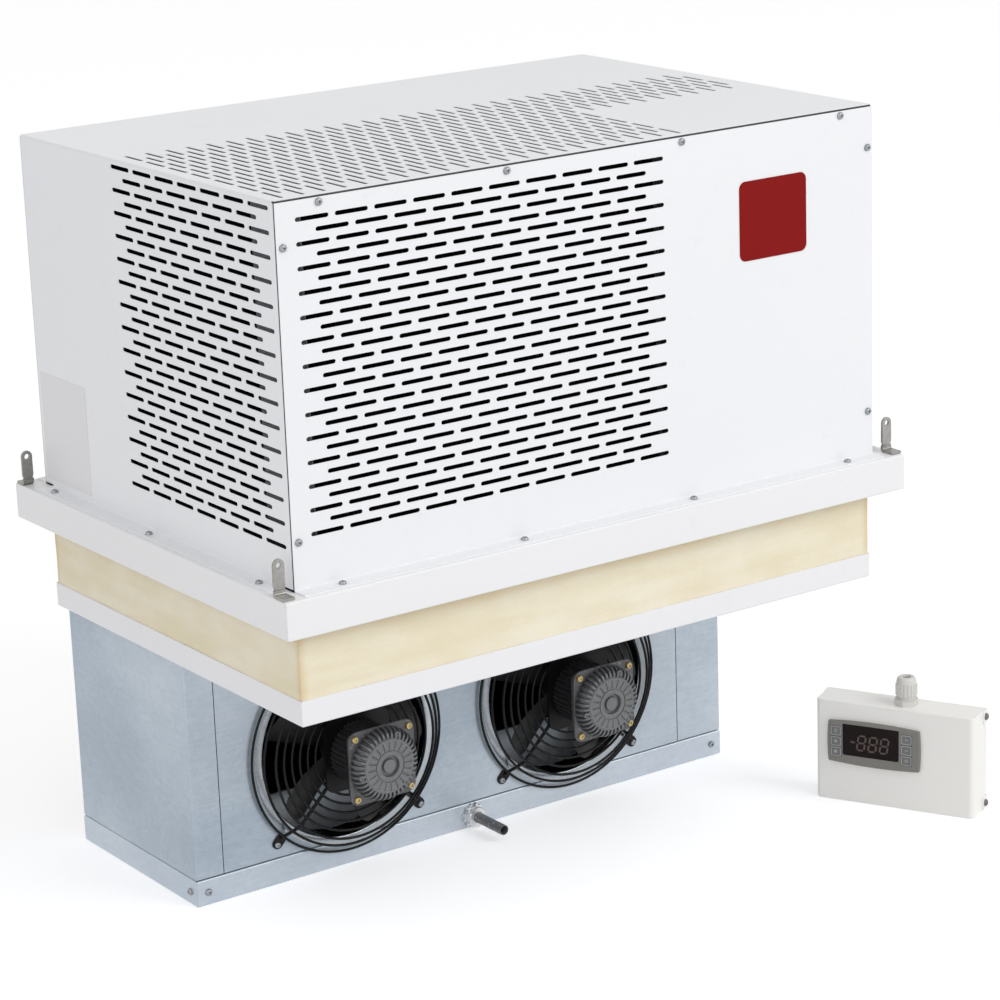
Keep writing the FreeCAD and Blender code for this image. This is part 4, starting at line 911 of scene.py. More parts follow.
DOME_START, DOME_HEIGHT, DOME_EDGE = FLANGE_END + 0.002, 0.0115, FACE + 0.0012
# The face from its edge to its middle: radius, and how far it lies back
FACE_PROFILE = ((FACE, 0.0014), (FACE - 0.0006, 0.0003), (FACE - 0.0016, 0), (0.0282, 0), (0.0279, 0),
                (0.0195, 0), (0.0192, 0), (0.0184, 0), (0.0182, 0.0009), (0.0172, 0.0009), (0.0170, 0),
                (0.0122, 0), (0.0112, 0.0032), (0.0082, 0.0032), (0.0074, 0.0008), (CLOSED, 0.0008))


def core_form(axis):
    """The core: a stack of thin square plates, every second one a little smaller."""
    outline = round_corners(CORE, CORE, CORE_CORNER)
    edges = np.linspace(HOUSING_END, CORE_END, CORE_LAYERS + 1)
    rows = []
    for i, between in enumerate(zip(edges, edges[1:])):
        plate = outline * (1 - CORE_STEP * (i % 2)) + axis
        rows += [[(x, GUARD_FACE - forward, z) for x, z in plate] for forward in between]
    return joined(grid(rows, wrap_columns=True), polygon(rows[0]), polygon(rows[-1]))


def bell_form(axis):
    """Ribbed bell that domes over to a grooved face. A rib's height is a clipped cosine of 40 turns, the
    dome is a quarter of an oval, and the face's grooves are a clipped cosine of 20 turns."""
    profile = [(BELL, FLANGE_END)]
    profile += [(DOME_EDGE + (BELL - DOME_EDGE) * cos(a), DOME_START + DOME_HEIGHT * sin(a))
                for a in np.linspace(0, pi / 2, 12)]
    profile += [(radius, FACE_END - back) for radius, back in FACE_PROFILE]

    def twist(radius, along, angle):
        valley = 1 - np.clip(0.5 + 1.5 * np.cos(RIBS * angle), 0, 1)
        share = np.clip((radius - FACE - 0.0006) / 0.0025, 0, 1)
        groove = np.clip(1.6 * np.cos(GROOVES * angle) - 0.95, 0, 0.6) / 0.6
        cut = (radius < GROOVES_TO) & (radius > GROOVES_FROM)
        deep = RIB_DEPTH * valley * share
        return radius - deep, along - 0.6 * deep - GROOVE_DEPTH * groove * cut

    return revolved(profile, (axis[0], GUARD_FACE, axis[1]), OUTWARD, 400, twist)


def housing_form(axis):
    """Rear housing behind the core, with shallow ribs along it."""
    profile = [(CLOSED, PLATE_END), (HOUSING, PLATE_END), (HOUSING, HOUSING_END), (CLOSED, HOUSING_END)]

    def twist(radius, along, angle):
        valley = np.clip(0.5 - 1.5 * np.cos(RIBS * angle), 0, 1)
        return radius - HOUSING_RIB_DEPTH * valley * (radius > HOUSING / 2), along

    return revolved(profile, (axis[0], GUARD_FACE, axis[1]), OUTWARD, 240, twist)


def square_plate(axis, size, start, end):
    """A round-cornered square plate across the motor's axis."""
    return prism(round_corners(size, size, FLANGE_CORNER), (axis[0], GUARD_FACE - end, axis[1]),
                 (0, end - start, 0), (1, 0, 0), (0, 0, 1))


def knob(x, z, forward, radius, height, bore):
    """A low round head that stands forward of the guard's face by a distance, with a sunk middle."""
    profile = [(radius, 0), (radius, height * 0.7), (radius * 0.85, height), (radius * 0.5, height),
               (radius * 0.45, height - bore), (CLOSED, height - bore)]
    return revolved(profile, (x, GUARD_FACE - forward, z), OUTWARD, 20)


for side, (x, z) in fan_axes.items():
    axis, reach = (x, z), MOTOR_FLANGE / 2 - FLANGE_SCREW_INSET
    bosses = [knob(x + BOSS_REACH * cos(a), z + BOSS_REACH * sin(a), FLANGE_END + BOSS_BACK, *BOSS)
              for a in np.radians(BOSS_TURNS)]
    screws = [knob(x + i * reach, z + j * reach, FLANGE_END, *FLANGE_SCREW) for i in (-1, 1) for j in (-1, 1)]
    piece("guard_" + side, guard_form(axis), wire_black, stands_for="fan_guard_" + side,
          sharp=50)
    piece("bell_" + side, joined(bell_form(axis), *bosses), motor_black,
          stands_for="fan_motor_" + side, sharp=32)
    piece("housing_" + side, housing_form(axis), shell_black)
    piece("mount_" + side, square_plate(axis, MOTOR_PLATE, 0, PLATE_END), wire_black,
          ease=0.0004)
    piece("flange_" + side, square_plate(axis, MOTOR_FLANGE, CORE_END, FLANGE_END), motor_flange,
          ease=0.0006)
    piece("core_" + side, core_form(axis), core_steel)
    piece("flange_screws_" + side, joined(*screws), brass_plated)


# Impellers: swept blades on a domed hub

HUB, HUB_LENGTH, TIP, SHAFT = 0.026, 0.022, 0.097, 0.004
HUB_FRONT = GUARD_FACE + 0.013
SHAFT_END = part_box("fan_impeller_left")[0].y
SHAFT_LENGTH = HUB_FRONT - SHAFT_END + 0.004
# The hub from its front's middle round to its inside: radius, and how far it lies back
HUB_PROFILE = ((CLOSED, 0), (0.012, 0), (0.020, 0.0006), (0.0245, 0.0028), (HUB, 0.007), (HUB, HUB_LENGTH),
               (HUB - 0.003, HUB_LENGTH), (HUB - 0.0035, 0.006), (CLOSED, 0.006))
BLADES, BLADE_CHORDS, BLADE_PITCH, BLADE_SWEEP = 5, (0.036, 0.056, 0.062, 0.048), radians(28), 0.012
BLADE_ROOT, BLADE_THICKNESS, BLADE_CAMBER = HUB - 0.002, 0.0018, 0.004


def blade_form(middle, turn):
    """A swept paddle. Each row is an oval section at one distance from the axis: the chord is wrapped
    round the axis and pitched, and a parabola across the chord gives the camber."""
    share = np.linspace(0, 1, 14)[:, None]
    ring = np.arange(20)[None, :] * 2 * pi / 20
    radius = BLADE_ROOT + (TIP - BLADE_ROOT) * share
    chord = np.interp(share, (0, 0.5, 0.9, 1), BLADE_CHORDS) / 2
    across, over = np.cos(ring), np.sin(ring)
    along = chord * across
    angle = turn + (along * cos(BLADE_PITCH) + BLADE_SWEEP * share ** 2) / radius
    x, z = middle[0] + radius * np.cos(angle), middle[2] + radius * np.sin(angle)
    y = along * sin(BLADE_PITCH) + BLADE_CAMBER * across ** 2 * share + BLADE_THICKNESS / 2 * over
    rows = np.stack([x, middle[1] + y, z], -1)
    return joined(grid(rows, wrap_columns=True), polygon(rows[-1]))


def wheel_form(axis):
    """Impeller: hub with a domed front, its blades, and the shaft that runs in the motor's bearing."""
    x, z = axis
    shaft = [(CLOSED, 0), (SHAFT, 0), (SHAFT, SHAFT_LENGTH), (CLOSED, SHAFT_LENGTH)]
    middle = (x, HUB_FRONT + HUB_LENGTH / 2, z)
    paddles = [blade_form(middle, 2 * pi * i / BLADES) for i in range(BLADES)]
    return joined(revolved(HUB_PROFILE, (x, HUB_FRONT, z), SPIN_AXIS, 48),
                  revolved(shaft, (x, SHAFT_END, z), SPIN_AXIS, 24), *paddles)


for side, axis in fan_axes.items():
    piece("impeller_" + side, wheel_form(axis), blade_black, body=side + "_fan_wheel",
          stands_for="fan_impeller_" + side)


# Drip tray and drain

def six_sided(angle, across):
    """Distance from the middle of a hexagon to its edge, by angle: half the size over a cosine."""
    return across / 2 / np.cos((angle + pi / 6) % (pi / 3) - pi / 6)


def nut_form(middle, across, bore, length):
    """A nut whose ends are turned down to a circle. Its sides lie far out in the profile, and the
    hexagon cuts them back."""
    edge, far = across * 0.545, 1.0
    profile = [(bore, 0), (edge - NUT_EDGE, 0), (edge, 0.001), (far, 0.002), (far, length - 0.002),
               (edge, length - 0.001), (edge - NUT_EDGE, length), (bore, length)]

    def twist(radius, along, angle):
        return np.where(radius > bore, np.minimum(radius, six_sided(angle, across)), radius), along

    return revolved(profile, middle, SPIN_AXIS, 72, twist, closed=True)


def toothed_washer(middle, radius, bore, thickness):
    """A washer with teeth: the rim goes in between them, and every tooth is bent a little."""
    flat = radius * 0.82
    profile = [(bore, 0), (flat, 0), (radius, 0), (radius, thickness), (flat, thickness), (bore, thickness)]

    def twist(rim, along, angle):
        notch = np.clip(0.5 + 1.6 * np.cos(TEETH * angle), 0, 1)
        outside = rim > radius * 0.9
        bent = TOOTH_BEND * (np.cos(TEETH / 2 * angle) - 0.5)
        return rim - TOOTH_DEPTH * notch * outside, along + bent * outside

    return revolved(profile, middle, SPIN_AXIS, TEETH * 12, twist, closed=True)


nut_low, nut_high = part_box("drain_nut")
spout_low, spout_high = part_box("drain_spout")
DRAIN_TUBE, DRAIN_THREAD, DRAIN_BORE, DRAIN_EDGE = 0.006, 0.0065, 0.005, 0.0002
NUT_ACROSS, NUT_EDGE = 0.022, 0.0012
WASHER, WASHER_THICKNESS, TEETH, TOOTH_DEPTH, TOOTH_BEND = 0.0145, 0.0038, 12, 0.0022, 0.0006
drain_z = (nut_low.z + nut_high.z) / 2
free, whole = nut_low.y - spout_low.y, spout_high.y - spout_low.y
spout_profile = [(DRAIN_BORE, 0), (DRAIN_TUBE - DRAIN_EDGE, 0), (DRAIN_TUBE, 1.5 * DRAIN_EDGE),
                 (DRAIN_TUBE, free), (DRAIN_THREAD, free), (DRAIN_THREAD, whole), (DRAIN_BORE, whole)]
piece("tray", folded_tray("drip_tray", 0.1, 0.006), zinc_tray, stands_for="drip_tray",
      wall=SHEET)
piece("spout", revolved(spout_profile, (0, spout_low.y, drain_z), SPIN_AXIS, 40, closed=True), spout_dark,
      stands_for="drain_spout")
piece("spout_nut", nut_form((0, nut_low.y, drain_z), NUT_ACROSS, DRAIN_THREAD, nut_high.y - nut_low.y),
      bright_zinc, stands_for="drain_nut")
piece("spout_washer", toothed_washer((0, nut_high.y, drain_z), WASHER, DRAIN_THREAD, WASHER_THICKNESS),
      bright_zinc, stands_for="drain_gasket")


# Screws and lugs

def solids_in(node, turn=Matrix()):
    """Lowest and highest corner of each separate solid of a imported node."""
    shape = bmesh.new()
    shape.from_mesh(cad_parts[node].data)
    shape.transform(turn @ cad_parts[node].matrix_world)
    bmesh.ops.remove_doubles(shape, verts=shape.verts, dist=1e-5)
    corners = []
    for first in shape.verts:
        if first.tag:
            continue
        first.tag, queue, reached = True, [first], []
        while queue:
            here = queue.pop()
            reached.append(here.co)
            for edge in here.link_edges:
                other = edge.other_vert(here)
                if not other.tag:
                    other.tag = True
                    queue.append(other)
        spots = np.array(reached)
        corners.append((spots.min(0), spots.max(0)))
    shape.free()
    return corners


def pan_head(base, axis, radius, height):
    """Pan-head screw with a cross recess: the recess's rim is a power of a cosine of two turns."""
    profile = [(radius, 0), (radius, 0.25 * height), (0.93 * radius, 0.62 * height),
               (0.76 * radius, 0.88 * height), (0.56 * radius, height), (0.50 * radius, height),
               (0.42 * radius, 0.45 * height), (CLOSED, 0.25 * height)]

    def twist(rim, along, angle):
        cross = 0.32 + 0.68 * np.abs(np.cos(2 * angle)) ** 5
        return np.where(rim < 0.53 * radius, rim * cross, rim), along

    return revolved(profile, base, axis, 32, twist)


def heads_of(node, turn=Matrix()):
    """A pan head for each screw of a node. It stands along its shortest side, away from the middle."""
    heads = []
    for low, high in solids_in(node, turn):
        middle, size = (low + high) / 2, high - low
        way = int(size.argmin())
        out = 1.0 if way == 2 or middle[way] > 0 else -1.0
        axis = np.zeros(3)
        axis[way] = out
        base = middle - axis * size[way] / 2
        heads.append(pan_head(base, axis, np.delete(size, way).min() / 2, size[way]))
    return joined(*heads)


LUG_THICKNESS, LUG_HOLE, LUG_EDGE, LUG_COLUMNS = 0.003, 0.003, 0.0004, 64


def lug_form(low, high, foot_out):
    """Lifting lug: a drilled tab with a round top, bent to a foot. Round the hole each column runs out
    to the round top or to the tab's straight sides."""
    half, thick, edge = (high[0] - low[0]) / 2, LUG_THICKNESS, LUG_EDGE
    x, bend = (low[0] + high[0]) / 2, low[2] + 2.5 * thick
    shoulder = high[2] - half
    angle = np.arange(LUG_COLUMNS) * 2 * pi / LUG_COLUMNS
    straight = np.minimum(half / np.maximum(np.abs(np.cos(angle)), 1e-9),
                          (shoulder - bend) / np.maximum(-np.sin(angle), 1e-9))
    reach = np.where(np.sin(angle) >= 0, half, straight)
    hole = np.full(LUG_COLUMNS, LUG_HOLE)
    face = low[1] if foot_out < 0 else high[1]
    tab_y = high[1] - thick if foot_out < 0 else low[1]
    rows = []
    for radius, y in ((hole, 0), (hole + edge, 0), (reach - edge, 0), (reach, edge), (reach, thick - edge),
                      (reach - edge, thick), (hole + edge, thick), (hole, thick)):
        rows.append(np.stack([x + radius * np.cos(angle), np.full(LUG_COLUMNS, tab_y + y),
                              shoulder + radius * np.sin(angle)], -1))
    tab = grid(rows, wrap_rows=True, wrap_columns=True)
    outer, inner = (tab_y + thick, tab_y) if foot_out < 0 else (tab_y, tab_y + thick)
    outside = rounded_path([(outer, bend), (outer, low[2]), (face, low[2])], thick * 1.5, 6)
    inside = rounded_path([(inner, bend), (inner, low[2] + thick), (face, low[2] + thick)], thick * 0.5, 6)
    section = np.concatenate([outside, inside[::-1]])
    return joined(tab, prism(section, (low[0], 0, 0), (2 * half, 0, 0), (0, 1, 0), (0, 0, 1)))


lugs = []
for low, high in solids_in("lifting_lugs"):
    foot_out = -1 if high[1] < (HOOD_FRONT + HOOD_BACK) / 2 else 1
    lugs.append(lug_form(low, high, foot_out))
piece("lugs", joined(*lugs), plated_lug, stands_for="lifting_lugs", sharp=50)
piece("sheet_screws", heads_of("panel_screws"), plated, stands_for="panel_screws")


# Coils

def fins_form(low, high, pitch, thickness=0.0003):
    """Thin upright fins, evenly spaced from end to end of the coil."""
    count = int((high.x - low.x) / pitch)
    starts = np.linspace(low.x, high.x - thickness, count)
    return joined(*(slab((x, low.y, low.z), (x + thickness, high.y, high.z)) for x in starts))


def serpentine_form(low, high, y, passes, radius):
    """One round tube to and fro, its passes joined by half circles at both ends."""
    levels = np.linspace(low.z + radius, high.z - radius, passes)
    reach = (levels[1] - levels[0]) / 2
    ends = low.x + radius + reach, high.x - radius - reach
    path = [(ends[1], y, levels[0])]
    for i, level in enumerate(levels[:-1]):
        at, out = (ends[0], -reach) if i % 2 == 0 else (ends[1], reach)
        path += [(at + out * sin(a), y, level + reach - reach * cos(a)) for a in np.linspace(0, pi, 13)]
    path.append((ends[(passes + 1) % 2], y, levels[-1]))
    return tube(path, radius, SPIN_AXIS, 14)


# Coil, its fins' finish and pitch, the tube's passes, the rows of tubes and the tube's radius
for coil, finish, pitch, passes, columns, radius in (("condenser", shaded_fins, 0.0026, 12, 1, 0.00475),
                                                     ("evaporator", coil_fins, 0.0034, 8, 2, 0.006)):
    piece(coil + "_coil_fins", fins_form(*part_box(coil + "_fins"), pitch), finish,
          stands_for=coil + "_fins")
    low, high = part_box(coil + "_tubes")
    tubes = [serpentine_form(low, high, y, passes, radius)
             for y in np.linspace(low.y + radius, high.y - radius, columns)]
    piece(coil + "_coil_tubes", joined(*tubes), copper, stands_for=coil + "_tubes")


# Cable glands

GLAND_RIBS, GLAND_RIB_DEPTH, GLAND_EDGE = 18, 0.0011, 0.0008


def gland_form(base, axis, across, bore, hexagon, neck, cap, dome, foot):
    """Cable gland: foot, hexagon, neck, ribbed cap and crown. A rib is a clipped cosine of 18 turns."""
    corner, cap_rim, neck_rim, thread = across * 0.577, across * 0.52, across * 0.42, across * 0.35
    start, end, soft = hexagon + neck, hexagon + neck + cap, 0.0006
    profile = [(bore, -foot), (thread, -foot), (thread, 0), (corner - GLAND_EDGE, 0), (corner, GLAND_EDGE),
               (corner, hexagon - GLAND_EDGE), (corner - GLAND_EDGE, hexagon), (neck_rim, hexagon),
               (neck_rim, start), (cap_rim - soft, start), (cap_rim, start + soft), (cap_rim, end - 0.001),
               (cap_rim - soft, end)]
    profile += [(across * (0.36 + 0.12 * cos(a)), end + dome * sin(a)) for a in np.linspace(0, pi / 2, 7)]
    profile += [(bore + GLAND_EDGE, end + dome), (bore, end + dome - GLAND_EDGE)]

    def twist(radius, along, angle):
        rib = np.clip(0.5 + 1.3 * np.cos(GLAND_RIBS * angle), 0, 1)
        flats = np.where(radius > across * 0.545, np.minimum(radius, six_sided(angle, across)), radius)
        ribbed = (along > start - MERGE) & (along < end + MERGE) & (radius > cap_rim - GLAND_EDGE)
        smooth = np.where(along < start, flats, radius)
        return np.where(ribbed, radius - GLAND_RIB_DEPTH * (1 - rib), smooth), along

    return revolved(profile, base, axis, GLAND_RIBS * 8, twist, closed=True)


# The control box. In its own frame the front is at y 0 and looks along -Y, and x 0 is its middle.

CONTROL_WIDTH, CONTROL_HEIGHT, CONTROL_DEPTH, BACK_PLATE = 0.190, 0.120, 0.042, 0.002
CONTROL_CORNER, CONTROL_SOFT = 0.006, 0.0009
CONTROL_LEFT, CONTROL_RIGHT = -CONTROL_WIDTH / 2, CONTROL_WIDTH / 2
TAB_HEIGHT, TAB_DEPTH, TAB_CORNER = 0.016, 0.013, 0.003
FASCIA_WIDTH, FASCIA_HEIGHT, FASCIA_THICKNESS, FASCIA_BOW, FASCIA_EDGE = 0.109, 0.048, 0.005, 0.0024, 0.0009
FASCIA_LEFT, FASCIA_TOP = CONTROL_LEFT + 0.017, CONTROL_HEIGHT - 0.023
FASCIA_RIGHT, FASCIA_LOW = FASCIA_LEFT + FASCIA_WIDTH, FASCIA_TOP - FASCIA_HEIGHT
LATTICE, LATTICE_SIDE, LATTICE_LOW, LATTICE_TOP = 0.004, 0.0016, 0.0014, 0.0012
WINDOW_LEFT, WINDOW_TOP = FASCIA_LEFT + 0.0175, FASCIA_TOP - 0.0015
WINDOW_WIDTH, WINDOW_HEIGHT, WINDOW_DEPTH, WINDOW_CORNER = 0.068, 0.0375, 0.0014, 0.004
KEY_WIDTH, KEY_HEIGHT, KEY_PITCH, KEY_PROUD, KEY_GAP = 0.0125, 0.0112, 0.0126, 0.0004, 0.0003
KEY_COLUMNS, KEY_TOP, KEY_THICKNESS = (0.0032, 0.0885), 0.0052, 0.0034
KEYS = (("light", 0, 0), ("defrost", 0, 1), ("set", 0, 2), ("up", 1, 0), ("down", 1, 1), ("power", 1, 2))
CONTROL_ASIDE, CONTROL_AHEAD, CONTROL_TURN, GLAND_ASIDE = 0.041, 0.264, radians(-62.4), 0.102
stand = Matrix.Translation((CASING_RIGHT + CONTROL_ASIDE, CASING_FRONT - CONTROL_AHEAD, 0))
stand = stand @ Matrix.Rotation(CONTROL_TURN, 4, "Z")


def key_corner(column, row):
    """Lower left corner of a key cap."""
    return FASCIA_LEFT + KEY_COLUMNS[column], FASCIA_TOP - KEY_TOP - KEY_PITCH * row - KEY_HEIGHT


def cover_form():
    """Box cover: a plan with round front corners, drawn up, its top and bottom edges softened."""
    rows = []
    soft = np.linspace(0, pi / 2, 4)
    rise = [(CONTROL_SOFT * (1 - sin(a)), CONTROL_SOFT * (1 - cos(a))) for a in soft]
    levels = rise + [(inset, CONTROL_HEIGHT - up) for inset, up in reversed(rise)]
    back = CONTROL_DEPTH - BACK_PLATE
    for inset, z in levels:
        left, right = CONTROL_LEFT + inset, CONTROL_RIGHT - inset
        plan = rounded_path([(left, back), (left, inset), (right, inset), (right, back)],
                            CONTROL_CORNER - inset, 8)
        rows.append(np.column_stack([plan, np.full(len(plan), z)]))
    return joined(grid(rows, wrap_columns=True), polygon(rows[0]), polygon(rows[-1]))


def base_form():
    """Back plate, with the four side tabs that lap over the cover, their free corners rounded."""
    front, back, apart = CONTROL_DEPTH - BACK_PLATE, CONTROL_DEPTH, 4 * MERGE
    forms = [slab((CONTROL_LEFT, front + JOINT, 0), (CONTROL_RIGHT, back, CONTROL_HEIGHT))]
    for edge, out in ((CONTROL_LEFT, -1), (CONTROL_RIGHT, 1)):
        for low in (0, CONTROL_HEIGHT - TAB_HEIGHT):
            nose = rounded_path([(back, low), (back - TAB_DEPTH, low), (back - TAB_DEPTH, low + TAB_HEIGHT),
                                 (back, low + TAB_HEIGHT)], TAB_CORNER, 5)
            forms.append(prism(nose, (edge + out * apart, 0, 0), (out * (SHEET - apart), 0, 0),
                               (0, 1, 0), (0, 0, 1)))
    return joined(*forms)


WELL_STEP, WELL_CLEAR = 1e-5, 1.5e-4
BOW_SIDE, BOW_TOP = (0.955, 0.035), (0.93, 0.06)  # where the bow starts, and over how much it grows


def stations(start, end, spacing, *edges):
    """Lattice stations: even ones, and a close pair at each edge of a well in the place of those near."""
    even = np.linspace(start, end, int((end - start) / spacing))
    pairs = np.concatenate([np.array(edges) - WELL_STEP, np.array(edges) + WELL_STEP])
    clear = np.abs(even[:, None] - pairs[None]).min(1) > WELL_CLEAR
    return np.sort(np.concatenate([even[clear], pairs]))


def bowed(far, beside, start, span):
    """Share of the bow that a point takes, from its places across the face as shares of half its size:
    it grows from nought over the span up to the edge, and falls off as a parabola along the edge."""
    return (1 - beside ** 2) * np.sign(far) * np.clip((np.abs(far) - start) / span, 0, 1)


def fascia_form():
    """Controller front: a lattice that turns back at its edges. The edges bow by a parabola, and a point
    inside a well lies at the well's depth."""
    wells = [(WINDOW_LEFT, WINDOW_LEFT + WINDOW_WIDTH, WINDOW_TOP - WINDOW_HEIGHT, WINDOW_TOP, WINDOW_DEPTH)]
    for _, column, row in KEYS:
        x, z = key_corner(column, row)
        wells.append((x - KEY_GAP, x + KEY_WIDTH + KEY_GAP, z - KEY_GAP, z + KEY_HEIGHT + KEY_GAP,
                      KEY_THICKNESS - KEY_PROUD))
    x_edges = sorted({round(edge, 6) for well in wells for edge in well[:2]})
    z_edges = sorted({round(edge, 6) for well in wells for edge in well[2:4]})
    fold = np.append(np.linspace(0, FASCIA_EDGE * pi / 2, 5),
                     FASCIA_THICKNESS - FASCIA_EDGE + FASCIA_EDGE * pi / 2)
    us = np.concatenate([(FASCIA_LEFT + FASCIA_EDGE - fold)[::-1],
                         stations(FASCIA_LEFT + LATTICE_SIDE, FASCIA_RIGHT - LATTICE_SIDE, LATTICE, *x_edges),
                         FASCIA_RIGHT - FASCIA_EDGE + fold])
    vs = np.concatenate([(FASCIA_LOW + FASCIA_EDGE - fold)[::-1],
                         stations(FASCIA_LOW + LATTICE_LOW, FASCIA_TOP - LATTICE_TOP, LATTICE, *z_edges),
                         FASCIA_TOP - FASCIA_EDGE + fold])
    u, v = np.meshgrid(us, vs)
    on_left, back_left = turned(FASCIA_LEFT + FASCIA_EDGE - u, FASCIA_EDGE)
    on_right, back_right = turned(u - FASCIA_RIGHT + FASCIA_EDGE, FASCIA_EDGE)
    on_low, back_low = turned(FASCIA_LOW + FASCIA_EDGE - v, FASCIA_EDGE)
    on_high, back_high = turned(v - FASCIA_TOP + FASCIA_EDGE, FASCIA_EDGE)
    x = np.where(u < 0.5 * (FASCIA_LEFT + FASCIA_RIGHT), FASCIA_LEFT + FASCIA_EDGE - on_left,
                 FASCIA_RIGHT - FASCIA_EDGE + on_right)
    z = np.where(v < 0.5 * (FASCIA_LOW + FASCIA_TOP), FASCIA_LOW + FASCIA_EDGE - on_low,
                 FASCIA_TOP - FASCIA_EDGE + on_high)
    across = 2 * (x - FASCIA_LEFT) / FASCIA_WIDTH - 1
    up = 2 * (z - FASCIA_LOW) / FASCIA_HEIGHT - 1
    z = z + FASCIA_BOW * bowed(up, across, *BOW_TOP)
    x = x + FASCIA_BOW / 2 * bowed(across, up, *BOW_SIDE)
    deep = np.minimum(back_left + back_right + back_low + back_high, FASCIA_THICKNESS)
    for x0, x1, z0, z1, depth in wells:
        deep = np.where((u > x0) & (u < x1) & (v > z0) & (v < z1), depth, deep)
    return grid(np.stack([x, deep - FASCIA_THICKNESS, z], -1))


# A key cap from its foot to the middle of its face: how far it draws in, and how far it lies back
CAP_PROFILE = ((0, KEY_THICKNESS), (0, 0.0005), (0.00015, 0.00015), (0.0005, 0), (0.0012, 0.00008),
               (0.0030, 0.00016), (0.0050, 0.0002))
CAP_CORNER, CAP_SHARPEST = 0.0008, 0.0003


def cap_form(x, z):
    """Key cap: rows of a rounded rectangle that draw in over the edge and on to a slightly hollow face."""
    front = -FASCIA_THICKNESS - KEY_PROUD
    rows = []
    for inset, back in CAP_PROFILE:
        corner = max(CAP_CORNER - inset / 3, CAP_SHARPEST)
        outline = round_corners(KEY_WIDTH - 2 * inset, KEY_HEIGHT - 2 * inset, corner, 4)
        outline += (x + KEY_WIDTH / 2, z + KEY_HEIGHT / 2)
        rows.append([(a, front + back, b) for a, b in outline])
    return joined(grid(rows, wrap_columns=True), polygon(rows[-1]), polygon(rows[0]))


# Signs: thin flat strokes on the keys and unlit digits in the window

STROKE, INK, SIGN = 0.00042, 0.00004, 0.0021


def stroke(points, level, width=STROKE, closed=False):
    """A flat line of even width through points of (x, z), at a level."""
    points = np.asarray(points, float)
    ahead = np.roll(points, -1, 0) - np.roll(points, 1, 0)
    if not closed:
        ahead[0], ahead[-1] = points[1] - points[0], points[-1] - points[-2]
    ahead /= np.linalg.norm(ahead, axis=1)[:, None]
    side = np.stack([-ahead[:, 1], ahead[:, 0]], 1) * width / 2
    rows = []
    for offset, y in ((side, level), (-side, level)):
        flat = points + offset
        rows.append(np.stack([flat[:, 0], np.full(len(flat), y), flat[:, 1]], 1))
    return grid(rows, wrap_columns=closed, flip=True)


def arc(x, z, radius, start, end, count=13):
    """Points on part of a circle, by degrees."""
    angle = np.radians(np.linspace(start, end, count))
    return np.stack([x + radius * np.cos(angle), z + radius * np.sin(angle)], 1)


# The keys' symbols, in shares of the sign's size about the middle of the cap
SYMBOLS = {
    "light": [arc(0, 5 / 21, 0.75, -50, 230), [(-8 / 21, -2 / 3), (8 / 21, -2 / 3)],
              [(-2 / 7, -20 / 21), (2 / 7, -20 / 21)]],
    "defrost": [[(-cos(a), -sin(a)), (cos(a), sin(a))] for a in (pi / 2, pi / 6, -pi / 6)],
    "set": [arc(0, 0, 0.8, 0, 300), arc(0, 0, 0.3, 0, 360)],
    "up": [[(-0.8, -0.4), (0, 0.5), (0.8, -0.4)]],
    "down": [[(-0.8, 0.4), (0, -0.5), (0.8, 0.4)]],
    "power": [arc(0, 0, 0.8, 125, 415), [(0, 0.15), (0, 1)]],
}


def sign_form(name, x, z):
    """A key's border and its plain symbol about the middle of the cap."""
    level = -FASCIA_THICKNESS - KEY_PROUD - INK
    border = round_corners(KEY_WIDTH - 0.0012, KEY_HEIGHT - 0.0012, 0.0009, 4) + (x, z)
    lines = [stroke(border, level, closed=True)]
    lines += [stroke(SIGN * np.array(points) + (x, z), level) for points in SYMBOLS[name]]
    return joined(*lines)


DIGIT_HEIGHT, DIGIT_WIDTH, DIGIT_PITCH, DIGIT_SLANT, SEGMENT = 0.0175, 0.0088, 0.0138, 0.16, 0.0021
DIGITS_ASIDE, DIGITS_DOWN, SEGMENT_GAP, DASH, DASH_PITCH = 0.0085, 0.0295, 0.0011, 0.005, 0.0085


def digits_form():
    """Unlit digits: a dash and three figures of seven slanted bars, each bar a stroke with cut ends."""
    left, low = WINDOW_LEFT + DIGITS_ASIDE, WINDOW_TOP - DIGITS_DOWN
    half, gap, wide = DIGIT_HEIGHT / 2, SEGMENT_GAP, DIGIT_WIDTH
    figure = [((gap, level), (wide - gap, level)) for level in (0, half, 2 * half)]
    figure += [((a, b + gap), (a, b + half - gap)) for a in (0, wide) for b in (0, half)]
    bars = [((0, half), (DASH, half))]
    for i in range(3):
        start = DASH_PITCH + DIGIT_PITCH * i
        bars += [[(start + a, b) for a, b in bar] for bar in figure]
    slanted = [[(left + a + DIGIT_SLANT * b, low + b) for a, b in bar] for bar in bars]
    return joined(*(stroke(bar, -FASCIA_THICKNESS - INK, SEGMENT) for bar in slanted))


def window_form():
    """Window pane: flush with the fascia, with round lower corners."""
    x0, x1, z0, z1 = WINDOW_LEFT, WINDOW_LEFT + WINDOW_WIDTH, WINDOW_TOP - WINDOW_HEIGHT, WINDOW_TOP
    outline = rounded_path([(x0, z1), (x0, z0), (x1, z0), (x1, z1)], WINDOW_CORNER, 6)
    return prism(outline, (0, -FASCIA_THICKNESS, 0), (0, WINDOW_DEPTH - 0.0001, 0), (1, 0, 0), (0, 0, 1))


